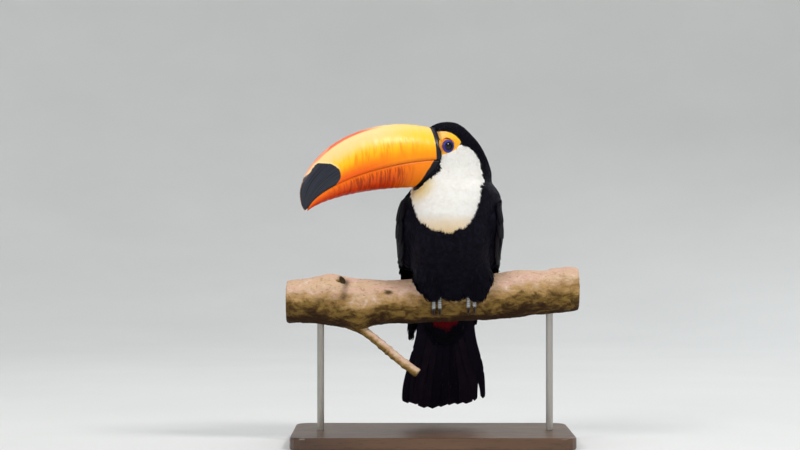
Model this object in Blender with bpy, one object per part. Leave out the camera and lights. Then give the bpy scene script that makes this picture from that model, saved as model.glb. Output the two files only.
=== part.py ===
"""A life-size toco toucan, perched on a cut length of branch that a plain display stand holds up.

Lengths are in millimetres, and add_mesh turns them into metres. +Z is up and the breast faces -Y.
The origin is the middle of the base's underside. The bird's left is +X. The head is turned to the
bird's right, so the bill points along -X and a little along -Y.
"""

import math

import bmesh
import bpy
from mathutils import Matrix, Vector

MM = 0.001
GAP = 0.3  # between pieces that touch
ROOM = 60.0  # how far a cutter reaches past what it cuts

# Stand
BASE_SIZE = (320.0, 190.0, 14.0)
BASE_CORNER = 18.0
BASE_CORNER_POINTS = 5
BASE_BEVEL = 2.0
ROD_RADIUS = 4.0
ROD_FACETS = 16
ROD_SOCKET = 12.0  # how deep a rod goes into the branch
ROD_PLACES = {"stand_rod_left": -128.0, "stand_rod_right": 135.0}

# Perch: (x, height of the axis, radius)
BRANCH_STATIONS = (
    (-167.0, 161.5, 24.3),
    (-142.0, 162.8, 26.2),
    (-121.0, 163.8, 29.4),
    (-101.0, 161.6, 28.9),
    (-84.0, 159.0, 28.6),
    (-66.0, 161.0, 26.2),
    (-40.0, 162.3, 25.0),
    (9.0, 164.3, 25.0),
    (55.0, 166.6, 25.6),
    (96.0, 170.6, 26.2),
    (126.0, 172.4, 24.2),
    (154.0, 175.6, 25.2),
    (168.0, 176.4, 23.8),
)
BRANCH_FACETS = 18
BRANCH_RING_COUNT = 17
STUB_ROOT = Vector((-120.0, -10.0, 179.0))
STUB_TIP = Vector((-102.0, -15.0, 187.0))
STUB_RADII = (9.0, 4.6)
TWIG_ROOT = Vector((-84.0, -6.0, 133.0))
TWIG_TIP = Vector((-16.5, -18.0, 80.5))
TWIG_RADII = (4.8, 5.2)

# Head: a frame at the bill's base, turned from the body. Its x runs forward along the bill.
BILL_BASE = Vector((-2.0, -21.0, 325.0))
HEAD_TURN = math.radians(25.0)
CULMEN = ((-2.0, 36.0), (107.0, 54.5), (182.5, -20.0), (155.5, -59.5))
GAPE = ((-3.0, -1.0), (37.0, -0.5), (138.5, -23.0), (151.5, -56.0))
GONYS = ((18.0, -32.0), (106.0, -34.5), (147.0, -53.5), (152.0, -60.0))
BILL_HALF_WIDTHS = (21.0, 20.0, 18.0, 14.5, 9.5, 2.2)
LOWER_SHARE = 0.95  # the lower mandible's width against the upper one's
BILL_RINGS = 18
BILL_FACETS = 18

EYE_RADIUS = 8.5
EYE_FORWARD = -11.5
EYE_ASIDE = 18.6
EYE_UP = 15.5

# Rings of head, neck and trunk: (height, x, y, half length along the head's line, half width
# across it, turn in degrees, squareness). Turned 0 degrees, the length runs along X.
BODY_RINGS = (
    (368.6, 18.0, -11.7, 0.0, 0.0, 25.0, 2.0),
    (366.0, 17.5, -11.9, 13.5, 12.0, 25.0, 2.1),
    (358.0, 16.0, -12.5, 25.0, 20.0, 25.0, 2.3),
    (346.0, 19.7, -10.8, 32.5, 25.6, 25.0, 2.5),
    (334.0, 23.4, -9.2, 37.0, 27.4, 25.0, 2.5),
    (318.0, 27.0, -7.5, 41.0, 29.5, 25.0, 2.4),
    (303.0, 25.8, -8.3, 46.5, 34.0, 24.0, 2.2),
    (289.0, 25.0, -10.5, 50.5, 43.0, 16.0, 2.0),
    (272.0, 21.0, -11.5, 53.0, 49.5, 4.0, 2.0),
    (250.0, 20.0, -10.5, 55.0, 53.5, 0.0, 2.05),
    (226.0, 20.0, -7.0, 55.0, 54.0, 0.0, 2.1),
    (206.0, 21.0, -2.5, 51.5, 50.0, 0.0, 2.15),
    (190.0, 22.5, 1.0, 44.0, 45.0, 0.0, 2.2),
    (176.0, 24.0, 2.0, 33.0, 42.0, 0.0, 2.3),
    (167.0, 24.5, 2.0, 23.0, 38.0, 0.0, 2.3),
    (163.0, 25.0, 2.0, 13.0, 33.0, 0.0, 2.2),
    (161.8, 25.0, 2.0, 0.0, 0.0, 0.0, 2.0),
)
BODY_RING_COUNT = 21
BODY_FACETS = 28
NECK_TOP = Vector((25.0, -8.0, 302.0))
NECK_TOP_NORMAL = Vector((-0.34, -0.16, 1.0))
NECK_FOOT = Vector((21.0, -11.0, 272.0))
NECK_FOOT_NORMAL = Vector((0.0, -0.3, 1.0))

# Wings: edges of a wing as (aside from the body's middle, y, z). The left one hangs a little
# higher and closer at its tip, by WING_LIFT and WING_TUCK.
BODY_MIDDLE = 20.0
WING_VENTRAL = (
    (43.0, -8.0, 291.0),
    (50.0, -33.0, 269.0),
    (51.0, -39.0, 240.0),
    (54.5, -18.0, 208.0),
    (55.5, 12.0, 197.0),
    (53.0, 35.0, 180.0),
    (49.0, 50.0, 150.0),
    (47.0, 65.0, 116.0),
)
WING_DORSAL = (
    (40.0, -2.0, 292.0),
    (39.0, 18.0, 277.0),
    (33.0, 32.0, 252.0),
    (27.0, 42.0, 226.0),
    (24.0, 51.0, 200.0),
    (24.0, 59.0, 174.0),
    (29.0, 66.0, 146.0),
    (43.0, 70.0, 115.0),
)
WING_BULGES = (2.0, 11.5, 18.0, 19.0, 17.0, 12.0, 6.5, 0.8)
WING_FULLNESS = 0.75  # below 1, the wing's outer face is fuller towards its edges
WING_RUN = Vector((0.0, 0.4, -0.9))
WING_RIM = 1.6
WING_THICKNESS = 7.0
WING_RING_COUNT = 12
WING_FACETS = 6
WING_SAME = 0.55  # up to this share of their length, the two wings mirror each other
WING_LIFT = {"left": 18.0, "right": 0.0}
WING_TUCK = {"left": 14.0, "right": 0.0}

# Thighs, as egg shapes: middle and radii of the left one, and how far apart the two stand
THIGH_MIDDLE = Vector((52.0, -19.5, 188.0))
THIGH_RADII = Vector((18.0, 24.5, 32.0))
LEGS_MIDDLE = 23.5
THIGH_RINGS = 8
THIGH_FACETS = 14

# Rump and undertail coverts: an axis from the back down to the tail, with (distance, half width,
# half thickness), split in two by the tail's own plane
TAIL_START = Vector((17.0, 33.0, 205.0))
TAIL_END = Vector((15.8, 104.0, 30.0))
RUMP_STATIONS = (
    (-14.0, 30.0, 17.0),
    (4.0, 39.0, 22.0),
    (40.0, 37.0, 15.5),
    (72.0, 32.0, 11.0),
    (96.0, 24.0, 6.5),
    (108.0, 13.0, 3.4),
)
RUMP_RING_COUNT = 7
RUMP_FACETS = 20

# Tail fan: ten feathers, from the bird's right to its left, each with its share of the full length
TAIL_ROOT = 30.0  # distance along the axis where the feathers start
TAIL_HALF_WIDTHS = (27.0, 32.0, 37.0, 43.0, 47.5, 47.0)
TAIL_THICKNESS = (4.2, 3.8, 3.2, 2.4, 1.8, 1.2)
TAIL_LENGTHS = (0.945, 0.955, 0.985, 1.0, 0.99, 0.965, 0.955, 0.955, 0.93, 0.9)
TAIL_NOTCH = 3.0  # how far the edge draws in between two feathers
TAIL_GAP = (9, 17.0)  # the deeper gap: how many feathers lie before it, and its depth
TAIL_CAMBER = 5.0
TAIL_RINGS = (0.0, 0.2, 0.42, 0.64, 0.84, 1.0)
FEATHER_COLUMNS = 3
CUTTER_COLUMNS = 8

# Feet: zygodactyl, two toes forward and two back. Angles run round the branch from its front.
FOOT_PLACES = {"left": 44.5, "right": 5.0}
TOE_RADIUS = 2.9
TOE_TAPER = 0.72
TOE_KNUCKLES = 3
FOOT_ROOM = 7.6  # height that the feet take between branch and body
FRONT_TOE = (math.radians(82.0), math.radians(-20.0))
BACK_TOE = (math.radians(98.0), math.radians(186.0))
CLAW_ANGLE = math.radians(24.0)
TOE_SPREAD = (2.9, 4.6)
TARSUS_TOP = Vector((2.0, 6.0, 16.0))  # from the foot's middle, aside, back and up
TOE_STEPS = 6
TOE_FACETS = 6
CLAW_STEPS = 4


def clear_scene():
    for found in list(bpy.data.objects):
        bpy.data.objects.remove(found, do_unlink=True)


def material(name, colour, roughness, metallic=0.0):
    made = bpy.data.materials.get(name)
    if made is None:
        made = bpy.data.materials.new(name)
        made.use_nodes = True
        shader = made.node_tree.nodes["Principled BSDF"]
        shader.inputs["Base Color"].default_value = (*colour, 1.0)
        shader.inputs["Roughness"].default_value = roughness
        shader.inputs["Metallic"].default_value = metallic
    return made


MATERIALS = {
    "plumage_black": ((0.012, 0.012, 0.016), 0.6),
    "plumage_white": ((0.86, 0.83, 0.76), 0.8),
    "plumage_red": ((0.42, 0.02, 0.02), 0.7),
    "bill_orange": ((0.95, 0.45, 0.03), 0.3),
    "bill_red": ((0.85, 0.2, 0.02), 0.32),
    "eye": ((0.01, 0.01, 0.02), 0.08),
    "foot_skin": ((0.2, 0.27, 0.32), 0.55),
    "claw": ((0.02, 0.02, 0.02), 0.35),
    "bark": ((0.36, 0.24, 0.14), 0.85),
    "stand_board": ((0.16, 0.09, 0.05), 0.4),
    "stand_metal": ((0.45, 0.43, 0.4), 0.3, 1.0),
}


def add_mesh(name, points, faces, finish=None):
    """One closed mesh from points in millimetres. With no finish it is a cutter."""
    mesh = bpy.data.meshes.new(name)
    mesh.from_pydata([Vector(p) * MM for p in points], [], faces)
    work = bmesh.new()
    work.from_mesh(mesh)
    bmesh.ops.remove_doubles(work, verts=work.verts, dist=0.001 * MM)
    bmesh.ops.triangulate(work, faces=work.faces)
    bmesh.ops.recalc_face_normals(work, faces=work.faces)
    work.to_mesh(mesh)
    work.free()
    made = bpy.data.objects.new(name, mesh)
    bpy.context.scene.collection.objects.link(made)
    if finish is None:
        made.hide_render = True
        made.display_type = "WIRE"
    else:
        mesh.materials.append(material(finish, *MATERIALS[finish]))
        mesh.shade_smooth()
        mesh.set_sharp_from_angle(angle=math.radians(35.0))
    return made


def cap(first, count):
    """Strips that close a ring, each between a point and the one opposite it."""
    strips = []
    for i in range((count - 1) // 2):
        near, far = first + i, first + count - 1 - i
        strips.append(tuple(dict.fromkeys((near, near + 1, far - 1, far))))
    return strips


def tube(name, rings, finish=None):
    """A closed solid through rings of equally many points. A ring of one place closes to a point."""
    count = len(rings[0])
    points = [point for ring in rings for point in ring]
    faces = cap(0, count) + cap(len(points) - count, count)
    for step in range(len(rings) - 1):
        low, high = step * count, (step + 1) * count
        for i in range(count):
            j = (i + 1) % count
            faces.append((low + i, low + j, high + j, high + i))
    return add_mesh(name, points, faces, finish)


def box(name, low, high, finish=None):
    rings = [
        [(low[0], low[1], z), (high[0], low[1], z), (high[0], high[1], z), (low[0], high[1], z)]
        for z in (low[2], high[2])
    ]
    return tube(name, rings, finish)


def boolean(piece, cutters, operation="DIFFERENCE"):
    for cutter in cutters:
        step = piece.modifiers.new(operation.lower() + "_" + cutter.name, "BOOLEAN")
        step.operation = operation
        step.solver = "EXACT"
        step.object = cutter
    return piece


def beyond(name, point, normal, shift=0.0):
    """A cutter that takes away all on one side of a plane."""
    reach = 300.0
    facing = normal.normalized()
    cutter = box(name, (-reach, -reach, shift), (reach, reach, shift + reach))
    turn = facing.to_track_quat("Z", "Y").to_matrix().to_4x4()
    cutter.data.transform(Matrix.Translation(point * MM) @ turn)
    return cutter


def bezier(handles, t):
    a, b, c, d = (Vector(h) for h in handles)
    return (1 - t) ** 3 * a + 3 * (1 - t) ** 2 * t * b + 3 * (1 - t) * t**2 * c + t**3 * d


def along(keys, t):
    """A smooth value at t, from 0 to 1, through keys that are numbers or tuples (Catmull-Rom)."""
    wide = [Vector(k) if hasattr(k, "__len__") else Vector((k, 0.0)) for k in keys]
    place = t * (len(wide) - 1)
    i = min(int(place), len(wide) - 2)
    u = place - i
    b, c = wide[i], wide[i + 1]
    a = wide[i - 1] if i > 0 else 2 * b - c
    d = wide[i + 2] if i + 2 < len(wide) else 2 * c - b
    value = 0.5 * (
        2 * b + (c - a) * u + (2 * a - 5 * b + 4 * c - d) * u**2 + (3 * b - a - 3 * c + d) * u**3
    )
    return value if hasattr(keys[0], "__len__") else value[0]


def power(value, exponent):
    return math.copysign(abs(value) ** exponent, value)


def head_place(forward, aside, up):
    """A point of the head's frame, as a point of the part. aside is to the bird's left."""
    ahead = Vector((-math.cos(HEAD_TURN), -math.sin(HEAD_TURN), 0.0))
    left = Vector((math.sin(HEAD_TURN), -math.cos(HEAD_TURN), 0.0))
    return BILL_BASE + ahead * forward + left * aside + Vector((0.0, 0.0, up))


def body_ring(t, grow=0.0):
    z, x, y, length, width, turn, square = along_wide(BODY_RINGS, t)
    length, width = max(length, 0.0) + grow, max(width, 0.0) + grow
    angle = math.radians(turn)
    points = []
    for i in range(BODY_FACETS):
        a = 2 * math.pi * i / BODY_FACETS
        u = -length * power(math.cos(a), 2 / square)
        v = -width * power(math.sin(a), 2 / square)
        points.append(
            (
                x + u * math.cos(angle) - v * math.sin(angle),
                y + u * math.sin(angle) + v * math.cos(angle),
                z,
            )
        )
    return points


def along_wide(rows, t):
    """along() for rows of any width, as Catmull-Rom works on each column by itself."""
    return [along([row[i] for row in rows], t) for i in range(len(rows[0]))]


def body(name, grow=0.0, finish=None):
    shares = [k / BODY_RING_COUNT for k in range(BODY_RING_COUNT + 1)]
    return tube(name, [body_ring(t, grow) for t in shares], finish)


def egg(name, middle, radii, facets, rings, grow=0.0, finish=None):
    """An ellipsoid on its own axes."""
    made = []
    for k in range(rings + 1):
        fall = math.pi * k / rings
        made.append(
            [
                (
                    middle.x + (radii.x + grow) * math.sin(fall) * math.cos(2 * math.pi * i / facets),
                    middle.y + (radii.y + grow) * math.sin(fall) * math.sin(2 * math.pi * i / facets),
                    middle.z + (radii.z + grow) * math.cos(fall),
                )
                for i in range(facets)
            ]
        )
    return tube(name, made, finish)


def bill_half(name, outer, width_share, bulge, finish):
    """A mandible between the gape line and its outer ridge. bulge squares its sides."""
    half = BILL_FACETS // 2
    rings = []
    for k in range(BILL_RINGS + 1):
        t = k / BILL_RINGS
        inner_edge, outer_edge = bezier(GAPE, t), bezier(outer, t)
        across = outer_edge - inner_edge
        gap = 0.5 * GAP / max(across.length, 1.0)
        width = width_share * along(BILL_HALF_WIDTHS, t)
        ring = []
        for i in range(half + 1):
            a = math.pi * i / half
            rise = gap + (1 - gap) * power(math.sin(a), 1.0 / bulge)
            aside = width * power(math.cos(a), 1.6 / bulge) * (1 - 0.3 * rise**2)
            place = inner_edge + across * rise
            ring.append(head_place(place.x, aside, place.y))
        rings.append(ring)
    return tube(name, rings, finish)


def bill_room():
    """The space in front of the face, where the bill's base sits."""
    edge = (
        (GAPE[0][0] - GAP, CULMEN[0][1] + ROOM),
        (GAPE[0][0] - GAP, GAPE[0][1]),
        (GONYS[0][0] - GAP, GONYS[0][1] - GAP),
        (GONYS[0][0] + ROOM, GONYS[0][1] - 5.0),
        (GONYS[0][0] + ROOM, CULMEN[0][1] + ROOM),
    )
    rings = [[head_place(f, aside, u) for f, u in edge] for aside in (-ROOM, ROOM)]
    return tube("cut_bill_room", rings)


def eye(side, grow=0.0, name=None, finish=None):
    middle = head_place(EYE_FORWARD, side * EYE_ASIDE, EYE_UP)
    radii = Vector((EYE_RADIUS,) * 3)
    return egg(name, middle, radii, 12, 8, grow, finish)


def wing_edge(edge, side_name, t):
    """A place on a wing's edge, with its tip tucked in and lifted as on this side."""
    place = along(edge, t)
    drawn = max(0.0, t - WING_SAME) / (1 - WING_SAME)
    return place - Vector((WING_TUCK[side_name] * drawn, 0.0, -WING_LIFT[side_name] * drawn))


def wing_outline(chord, bulge, grow):
    """A bent lens as (along the chord, out from it), every side of it moved out by grow."""
    thick = WING_THICKNESS * min(1.0, chord / 60.0)
    upper, lower = [], []
    for i in range(WING_FACETS + 1):
        s = i / WING_FACETS
        arch = (4 * s * (1 - s)) ** WING_FULLNESS
        upper.append(Vector((s * chord, bulge * arch + 0.5 * WING_RIM)))
        lower.append(Vector((s * chord, (bulge - thick) * arch - 0.5 * WING_RIM)))
    outline = upper + lower[::-1]
    moved = []
    for i, here in enumerate(outline):
        come = (here - outline[i - 1]).normalized()
        leave = (outline[(i + 1) % len(outline)] - here).normalized()
        run = (come + leave).normalized()
        reach = grow / max(0.4, come.dot(run))
        moved.append(here + Vector((-run.y, run.x)) * reach)
    return moved


def wing(name, side_name, grow=0.0, finish=None):
    """A folded wing between its ventral and dorsal edges."""
    side = 1 if side_name == "left" else -1
    rings = []
    for k in range(WING_RING_COUNT + 1):
        t = k / WING_RING_COUNT
        low, high = wing_edge(WING_VENTRAL, side_name, t), wing_edge(WING_DORSAL, side_name, t)
        out = (high - low).cross(WING_RUN).normalized()
        out = out if out.x > 0 else -out
        chord = (high - low).normalized()
        low += WING_RUN * {0: -grow, WING_RING_COUNT: grow}.get(k, 0.0)
        ring = []
        for run, lift in wing_outline((high - low).length, along(WING_BULGES, t), grow):
            place = low + chord * run + out * lift
            ring.append((BODY_MIDDLE + side * place.x, place.y, place.z))
        rings.append(ring)
    return tube(name, rings, finish)


def tail_frame():
    """The tail's axis, its side and its dorsal direction."""
    axis = (TAIL_END - TAIL_START).normalized()
    aside = Vector((1.0, 0.0, 0.0))
    dorsal = aside.cross(axis).normalized()
    dorsal = dorsal if dorsal.y > 0 else -dorsal
    return axis, aside, dorsal


def rump(name, grow=0.0, finish=None):
    axis, aside, dorsal = tail_frame()
    rings = []
    for k in range(RUMP_RING_COUNT + 1):
        distance, width, thick = along_wide(RUMP_STATIONS, k / RUMP_RING_COUNT)
        middle = TAIL_START + axis * distance
        ring = []
        for i in range(RUMP_FACETS):
            a = 2 * math.pi * i / RUMP_FACETS
            ring.append(
                middle + aside * (width + grow) * math.cos(a) + dorsal * (thick + grow) * math.sin(a)
            )
        rings.append(ring)
    return tube(name, rings, finish)


def tail_length(across):
    """How far the fan's edge reaches, as a share of the full length, at this place across it."""
    place = 0.5 * (across + 1) * len(TAIL_LENGTHS)
    feather = min(int(place), len(TAIL_LENGTHS) - 1)
    from_shaft = 2 * abs(place - feather - 0.5)
    reach = (TAIL_END - TAIL_START).length - TAIL_ROOT
    ahead = TAIL_LENGTHS[feather]
    if from_shaft > 0.99 and 0 < round(place) < len(TAIL_LENGTHS):
        ahead = 0.5 * (TAIL_LENGTHS[round(place) - 1] + TAIL_LENGTHS[round(place)])
    drawn_in = TAIL_NOTCH if round(place) != TAIL_GAP[0] else TAIL_GAP[1]
    return reach * ahead - drawn_in * from_shaft**4


def tail_point(t, across, lift, grow):
    """A point of the tail fan. across runs from -1 to 1, and lift from its middle surface."""
    axis, aside, dorsal = tail_frame()
    width = along(TAIL_HALF_WIDTHS, t) + grow
    camber = -TAIL_CAMBER * across**2
    return (
        TAIL_START
        + axis * (TAIL_ROOT - grow + t * (tail_length(across) + 2 * grow))
        + aside * width * across
        + dorsal * (camber + lift)
    )


def tail(name, grow=0.0, finish=None):
    """The tail fan. As a cutter it needs no feather tips, so it is plainer."""
    count = FEATHER_COLUMNS * len(TAIL_LENGTHS) if finish else CUTTER_COLUMNS
    columns = [2 * i / count - 1 for i in range(count + 1)]
    rings = []
    for t in TAIL_RINGS:
        half = 0.5 * along(TAIL_THICKNESS, t) + grow
        upper = [tail_point(t, s, half, grow) for s in columns]
        lower = [tail_point(t, s, -half, grow) for s in reversed(columns)]
        rings.append(upper + lower)
    return tube(name, rings, finish)


def branch_at(x):
    """Height of the axis and radius of the branch at x."""
    for (x0, z0, r0), (x1, z1, r1) in zip(BRANCH_STATIONS, BRANCH_STATIONS[1:]):
        if x <= x1:
            share = (x - x0) / (x1 - x0)
            return z0 + (z1 - z0) * share, r0 + (r1 - r0) * share
    return BRANCH_STATIONS[-1][1:]


def branch_ring(x, z, radius):
    return [
        (
            x,
            radius * math.cos(2 * math.pi * i / BRANCH_FACETS),
            z + radius * math.sin(2 * math.pi * i / BRANCH_FACETS),
        )
        for i in range(BRANCH_FACETS)
    ]


def branch(name, grow=0.0, finish=None):
    rings = []
    for k in range(BRANCH_RING_COUNT + 1):
        x, z, radius = along_wide(BRANCH_STATIONS, k / BRANCH_RING_COUNT)
        rings.append(branch_ring(x, z, radius + grow))
    return tube(name, rings, finish)


def rod_shape(name, root, tip, radii, facets, finish=None, steps=1):
    """A straight tapered rod with flat ends."""
    facing = (tip - root).normalized().to_track_quat("Z", "Y")
    rings = []
    for k in range(steps + 1):
        share = k / steps
        radius = radii[0] + (radii[1] - radii[0]) * share
        middle = root.lerp(tip, share)
        rings.append(
            [
                middle
                + facing
                @ Vector(
                    (
                        radius * math.cos(2 * math.pi * i / facets),
                        radius * math.sin(2 * math.pi * i / facets),
                        0.0,
                    )
                )
                for i in range(facets)
            ]
        )
    return tube(name, rings, finish)


def round_branch(x, angle, height):
    """A point at this height over the bark. The angle runs from the branch's front over its top."""
    z, radius = branch_at(x)
    reach = radius + height
    return Vector((x, -reach * math.cos(angle), z + reach * math.sin(angle)))


def toe_ring(x, angle, height, radius):
    """Points of a toe's section, which stands on the branch at this angle."""
    points = []
    for i in range(TOE_FACETS):
        a = 2 * math.pi * i / TOE_FACETS
        points.append(round_branch(x + radius * math.cos(a), angle, height + radius * math.sin(a)))
    return points


def toe(name, x, side, angles, grow=0.0):
    rings = []
    for k in range(TOE_STEPS + 1):
        t = k / TOE_STEPS
        angle = angles[0] + (angles[1] - angles[0]) * t
        place = x + side * (TOE_SPREAD[0] + (TOE_SPREAD[1] - TOE_SPREAD[0]) * t)
        knuckle = 1 + 0.07 * math.cos(2 * math.pi * TOE_KNUCKLES * t)
        radius = TOE_RADIUS * (1 - (1 - TOE_TAPER) * t) * knuckle
        rings.append(toe_ring(place, angle, TOE_RADIUS * 1.1 + GAP, radius + grow))
    return tube(name, rings)


def claw(name, x, side, angles):
    """A claw that goes on from its toe, round the branch, to a point."""
    turn = math.copysign(1.0, angles[1] - angles[0])
    place = x + side * TOE_SPREAD[1]
    start = angles[1] + turn * math.radians(1.3)
    rings = []
    for k in range(CLAW_STEPS + 1):
        t = k / CLAW_STEPS
        angle = start + turn * CLAW_ANGLE * t
        radius = TOE_RADIUS * TOE_TAPER * (1 - 0.82 * t) * 0.95
        rings.append(toe_ring(place, angle, TOE_RADIUS * 1.1 + GAP - 1.4 * t**2, radius))
    return tube(name, rings, "claw")


def foot(side_name, x):
    """Toes and tarsus of one foot as one solid, and its four claws as solids of their own."""
    middle = round_branch(x, math.radians(88.0), TOE_RADIUS + GAP + 0.6)
    pad = egg(
        "foot_" + side_name, middle, Vector((7.0, 8.0, 3.2)), 10, 5, finish="foot_skin"
    )
    shapes = []
    for row, angles in (("front", FRONT_TOE), ("back", BACK_TOE)):
        for side in (-1, 1):
            tag = f"{row}_{'outer' if (side > 0) == (side_name == 'left') else 'inner'}_{side_name}"
            shapes.append(toe("add_toe_" + tag, x, side, angles))
            claw("claw_" + tag, x, side, angles)
    aside = 1 if side_name == "left" else -1
    top = middle + Vector((TARSUS_TOP.x * aside, TARSUS_TOP.y, TARSUS_TOP.z))
    shapes.append(rod_shape("add_tarsus_" + side_name, middle, top, (3.6, 3.2), 8))
    boolean(pad, shapes, "UNION")
    return rod_shape(
        "cut_tarsus_" + side_name,
        middle,
        top + (top - middle).normalized() * GAP,
        (3.6 + GAP, 3.2 + GAP),
        8,
    )


def slab_outline(inset, z):
    """A rectangle with round corners, set in from the base's edge."""
    corner = BASE_CORNER - inset
    points = []
    for i in range(4 * BASE_CORNER_POINTS):
        quarter = i // BASE_CORNER_POINTS
        share = (i % BASE_CORNER_POINTS) / (BASE_CORNER_POINTS - 1)
        a = 0.5 * math.pi * (quarter + share)
        x = math.copysign(BASE_SIZE[0] / 2 - BASE_CORNER, 1 if quarter in (0, 3) else -1)
        y = math.copysign(BASE_SIZE[1] / 2 - BASE_CORNER, 1 if quarter in (0, 1) else -1)
        points.append((x + corner * math.cos(a), y + corner * math.sin(a), z))
    return points


def build_stand(branch_piece):
    rings = []
    for inset, z in (
        (BASE_BEVEL, 0.0),
        (0.3 * BASE_BEVEL, 0.3 * BASE_BEVEL),
        (0.0, BASE_BEVEL),
        (0.0, BASE_SIZE[2] - BASE_BEVEL),
        (0.3 * BASE_BEVEL, BASE_SIZE[2] - 0.3 * BASE_BEVEL),
        (BASE_BEVEL, BASE_SIZE[2]),
    ):
        rings.append(slab_outline(inset, z))
    tube("stand_base", rings, "stand_board")
    sockets = []
    for name, x in ROD_PLACES.items():
        z, radius = branch_at(x)
        top = z - radius + ROD_SOCKET
        foot_place = Vector((x, 0.0, BASE_SIZE[2] + GAP))
        rod_shape(name, foot_place, Vector((x, 0.0, top)), (ROD_RADIUS,) * 2, ROD_FACETS, "stand_metal")
        sockets.append(
            rod_shape(
                "cut_socket_" + name,
                Vector((x, 0.0, z - radius - ROOM)),
                Vector((x, 0.0, top + GAP)),
                (ROD_RADIUS + GAP,) * 2,
                ROD_FACETS,
            )
        )
    boolean(branch_piece, sockets)


def build_perch():
    piece = branch("branch", 0.0, "bark")
    stub = rod_shape("add_stub", STUB_ROOT, STUB_TIP, STUB_RADII, 12)
    boolean(piece, [stub], "UNION")
    twig = rod_shape("twig", TWIG_ROOT, TWIG_TIP, TWIG_RADII, 12, "bark", 2)
    boolean(twig, [branch("cut_branch", GAP)])
    return piece


def build_bill():
    bill_half("bill_upper", CULMEN, 1.0, 1.35, "bill_orange")
    bill_half("bill_lower", GONYS, LOWER_SHARE, 1.5, "bill_red")


def build_flesh(tarsus_cuts):
    """Head, neck, trunk, thighs, wings, rump and tail."""
    neck_top = beyond("cut_over_neck", NECK_TOP, NECK_TOP_NORMAL)
    under_head = beyond("cut_under_head", NECK_TOP, -NECK_TOP_NORMAL, -GAP)
    neck_foot = beyond("cut_over_trunk", NECK_FOOT, NECK_FOOT_NORMAL)
    under_neck = beyond("cut_under_neck", NECK_FOOT, -NECK_FOOT_NORMAL, -GAP)
    room = branch("cut_perch_room", FOOT_ROOM)
    wing_cuts = [wing("cut_wing_" + name, name, 1.4 * GAP) for name in ("left", "right")]
    bill_cut = bill_room()

    sockets = []
    for name, side in (("left", 1), ("right", -1)):
        eye(side, 0.0, "eye_" + name, "eye")
        sockets.append(eye(side, GAP, "cut_eye_" + name))
    boolean(body("head", 0.0, "plumage_black"), [under_head, bill_cut, *sockets, *wing_cuts])
    boolean(body("neck", 0.0, "plumage_white"), [neck_top, under_neck, bill_cut, *wing_cuts])

    thigh_cuts = []
    for (name, side), tarsus in zip((("left", 1), ("right", -1)), tarsus_cuts):
        offset = THIGH_MIDDLE.x - LEGS_MIDDLE
        middle = Vector((LEGS_MIDDLE + side * offset, THIGH_MIDDLE.y, THIGH_MIDDLE.z))
        thigh = egg(
            "thigh_" + name, middle, THIGH_RADII, THIGH_FACETS, THIGH_RINGS, 0.0, "plumage_black"
        )
        boolean(thigh, [room, tarsus, *wing_cuts])
        thigh_cuts.append(
            egg("cut_thigh_" + name, middle, THIGH_RADII, THIGH_FACETS, THIGH_RINGS, GAP)
        )
    behind = beyond("cut_behind_branch", Vector((0.0, 22.0, 170.0)), Vector((0.0, 0.75, -1.0)))
    trunk = body("trunk", 0.0, "plumage_black")
    boolean(trunk, [neck_foot, behind, room, *wing_cuts, *thigh_cuts, *tarsus_cuts])

    for name in ("left", "right"):
        wing("wing_" + name, name, 0.0, "plumage_black")

    _, _, dorsal = tail_frame()
    fan_cut = tail("cut_tail", 1.5 * GAP)
    trunk_cut = body("cut_body", GAP)
    boolean(trunk_cut, [behind])
    for name, facing, finish in (
        ("rump", -dorsal, "plumage_white"),
        ("undertail", dorsal, "plumage_red"),
    ):
        half = rump(name, 0.0, finish)
        split = beyond("cut_half_of_" + name, TAIL_START, facing, -0.5 * GAP)
        boolean(half, [split, trunk_cut, room, fan_cut, *wing_cuts, *thigh_cuts])
    boolean(tail("tail", 0.0, "plumage_black"), [*wing_cuts, trunk_cut])


def main():
    clear_scene()
    branch_piece = build_perch()
    build_stand(branch_piece)
    build_bill()
    tarsus_cuts = [foot(name, x) for name, x in FOOT_PLACES.items()]
    build_flesh(tarsus_cuts)


main()
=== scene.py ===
"""Looks of a life-size toco toucan, perched on a cut branch that a plain display stand holds up.

Lengths are in millimetres, and make_piece turns them into metres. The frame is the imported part's:
+Z is up, the breast faces -Y, and the head is turned to the bird's right, towards -X.
"""

import math

import bmesh
import bpy
import numpy as np
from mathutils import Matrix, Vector
from mathutils.bvhtree import BVHTree


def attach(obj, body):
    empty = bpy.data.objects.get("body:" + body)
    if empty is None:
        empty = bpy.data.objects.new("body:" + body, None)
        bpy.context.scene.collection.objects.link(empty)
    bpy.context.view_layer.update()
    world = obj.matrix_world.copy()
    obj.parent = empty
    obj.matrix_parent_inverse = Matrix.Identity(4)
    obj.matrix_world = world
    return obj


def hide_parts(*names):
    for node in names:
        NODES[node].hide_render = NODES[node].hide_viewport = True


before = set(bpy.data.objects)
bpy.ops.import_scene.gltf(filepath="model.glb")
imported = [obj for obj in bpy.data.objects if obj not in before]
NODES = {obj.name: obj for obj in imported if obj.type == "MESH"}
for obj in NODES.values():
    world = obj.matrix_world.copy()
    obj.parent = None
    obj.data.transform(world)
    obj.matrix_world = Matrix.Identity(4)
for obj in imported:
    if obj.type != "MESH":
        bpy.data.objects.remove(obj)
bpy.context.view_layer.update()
RNG = np.random.default_rng(7)
MM = 0.001

# Head frame at the bill's base: forward along the bill, aside to the bird's left, and up
BILL_BASE = np.array((-2.0, -21.0, 325.0))
HEAD_TURN = math.radians(25.0)
AHEAD = np.array((-math.cos(HEAD_TURN), -math.sin(HEAD_TURN), 0.0))
LEFT = np.array((math.sin(HEAD_TURN), -math.cos(HEAD_TURN), 0.0))
UP = np.array((0.0, 0.0, 1.0))

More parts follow.
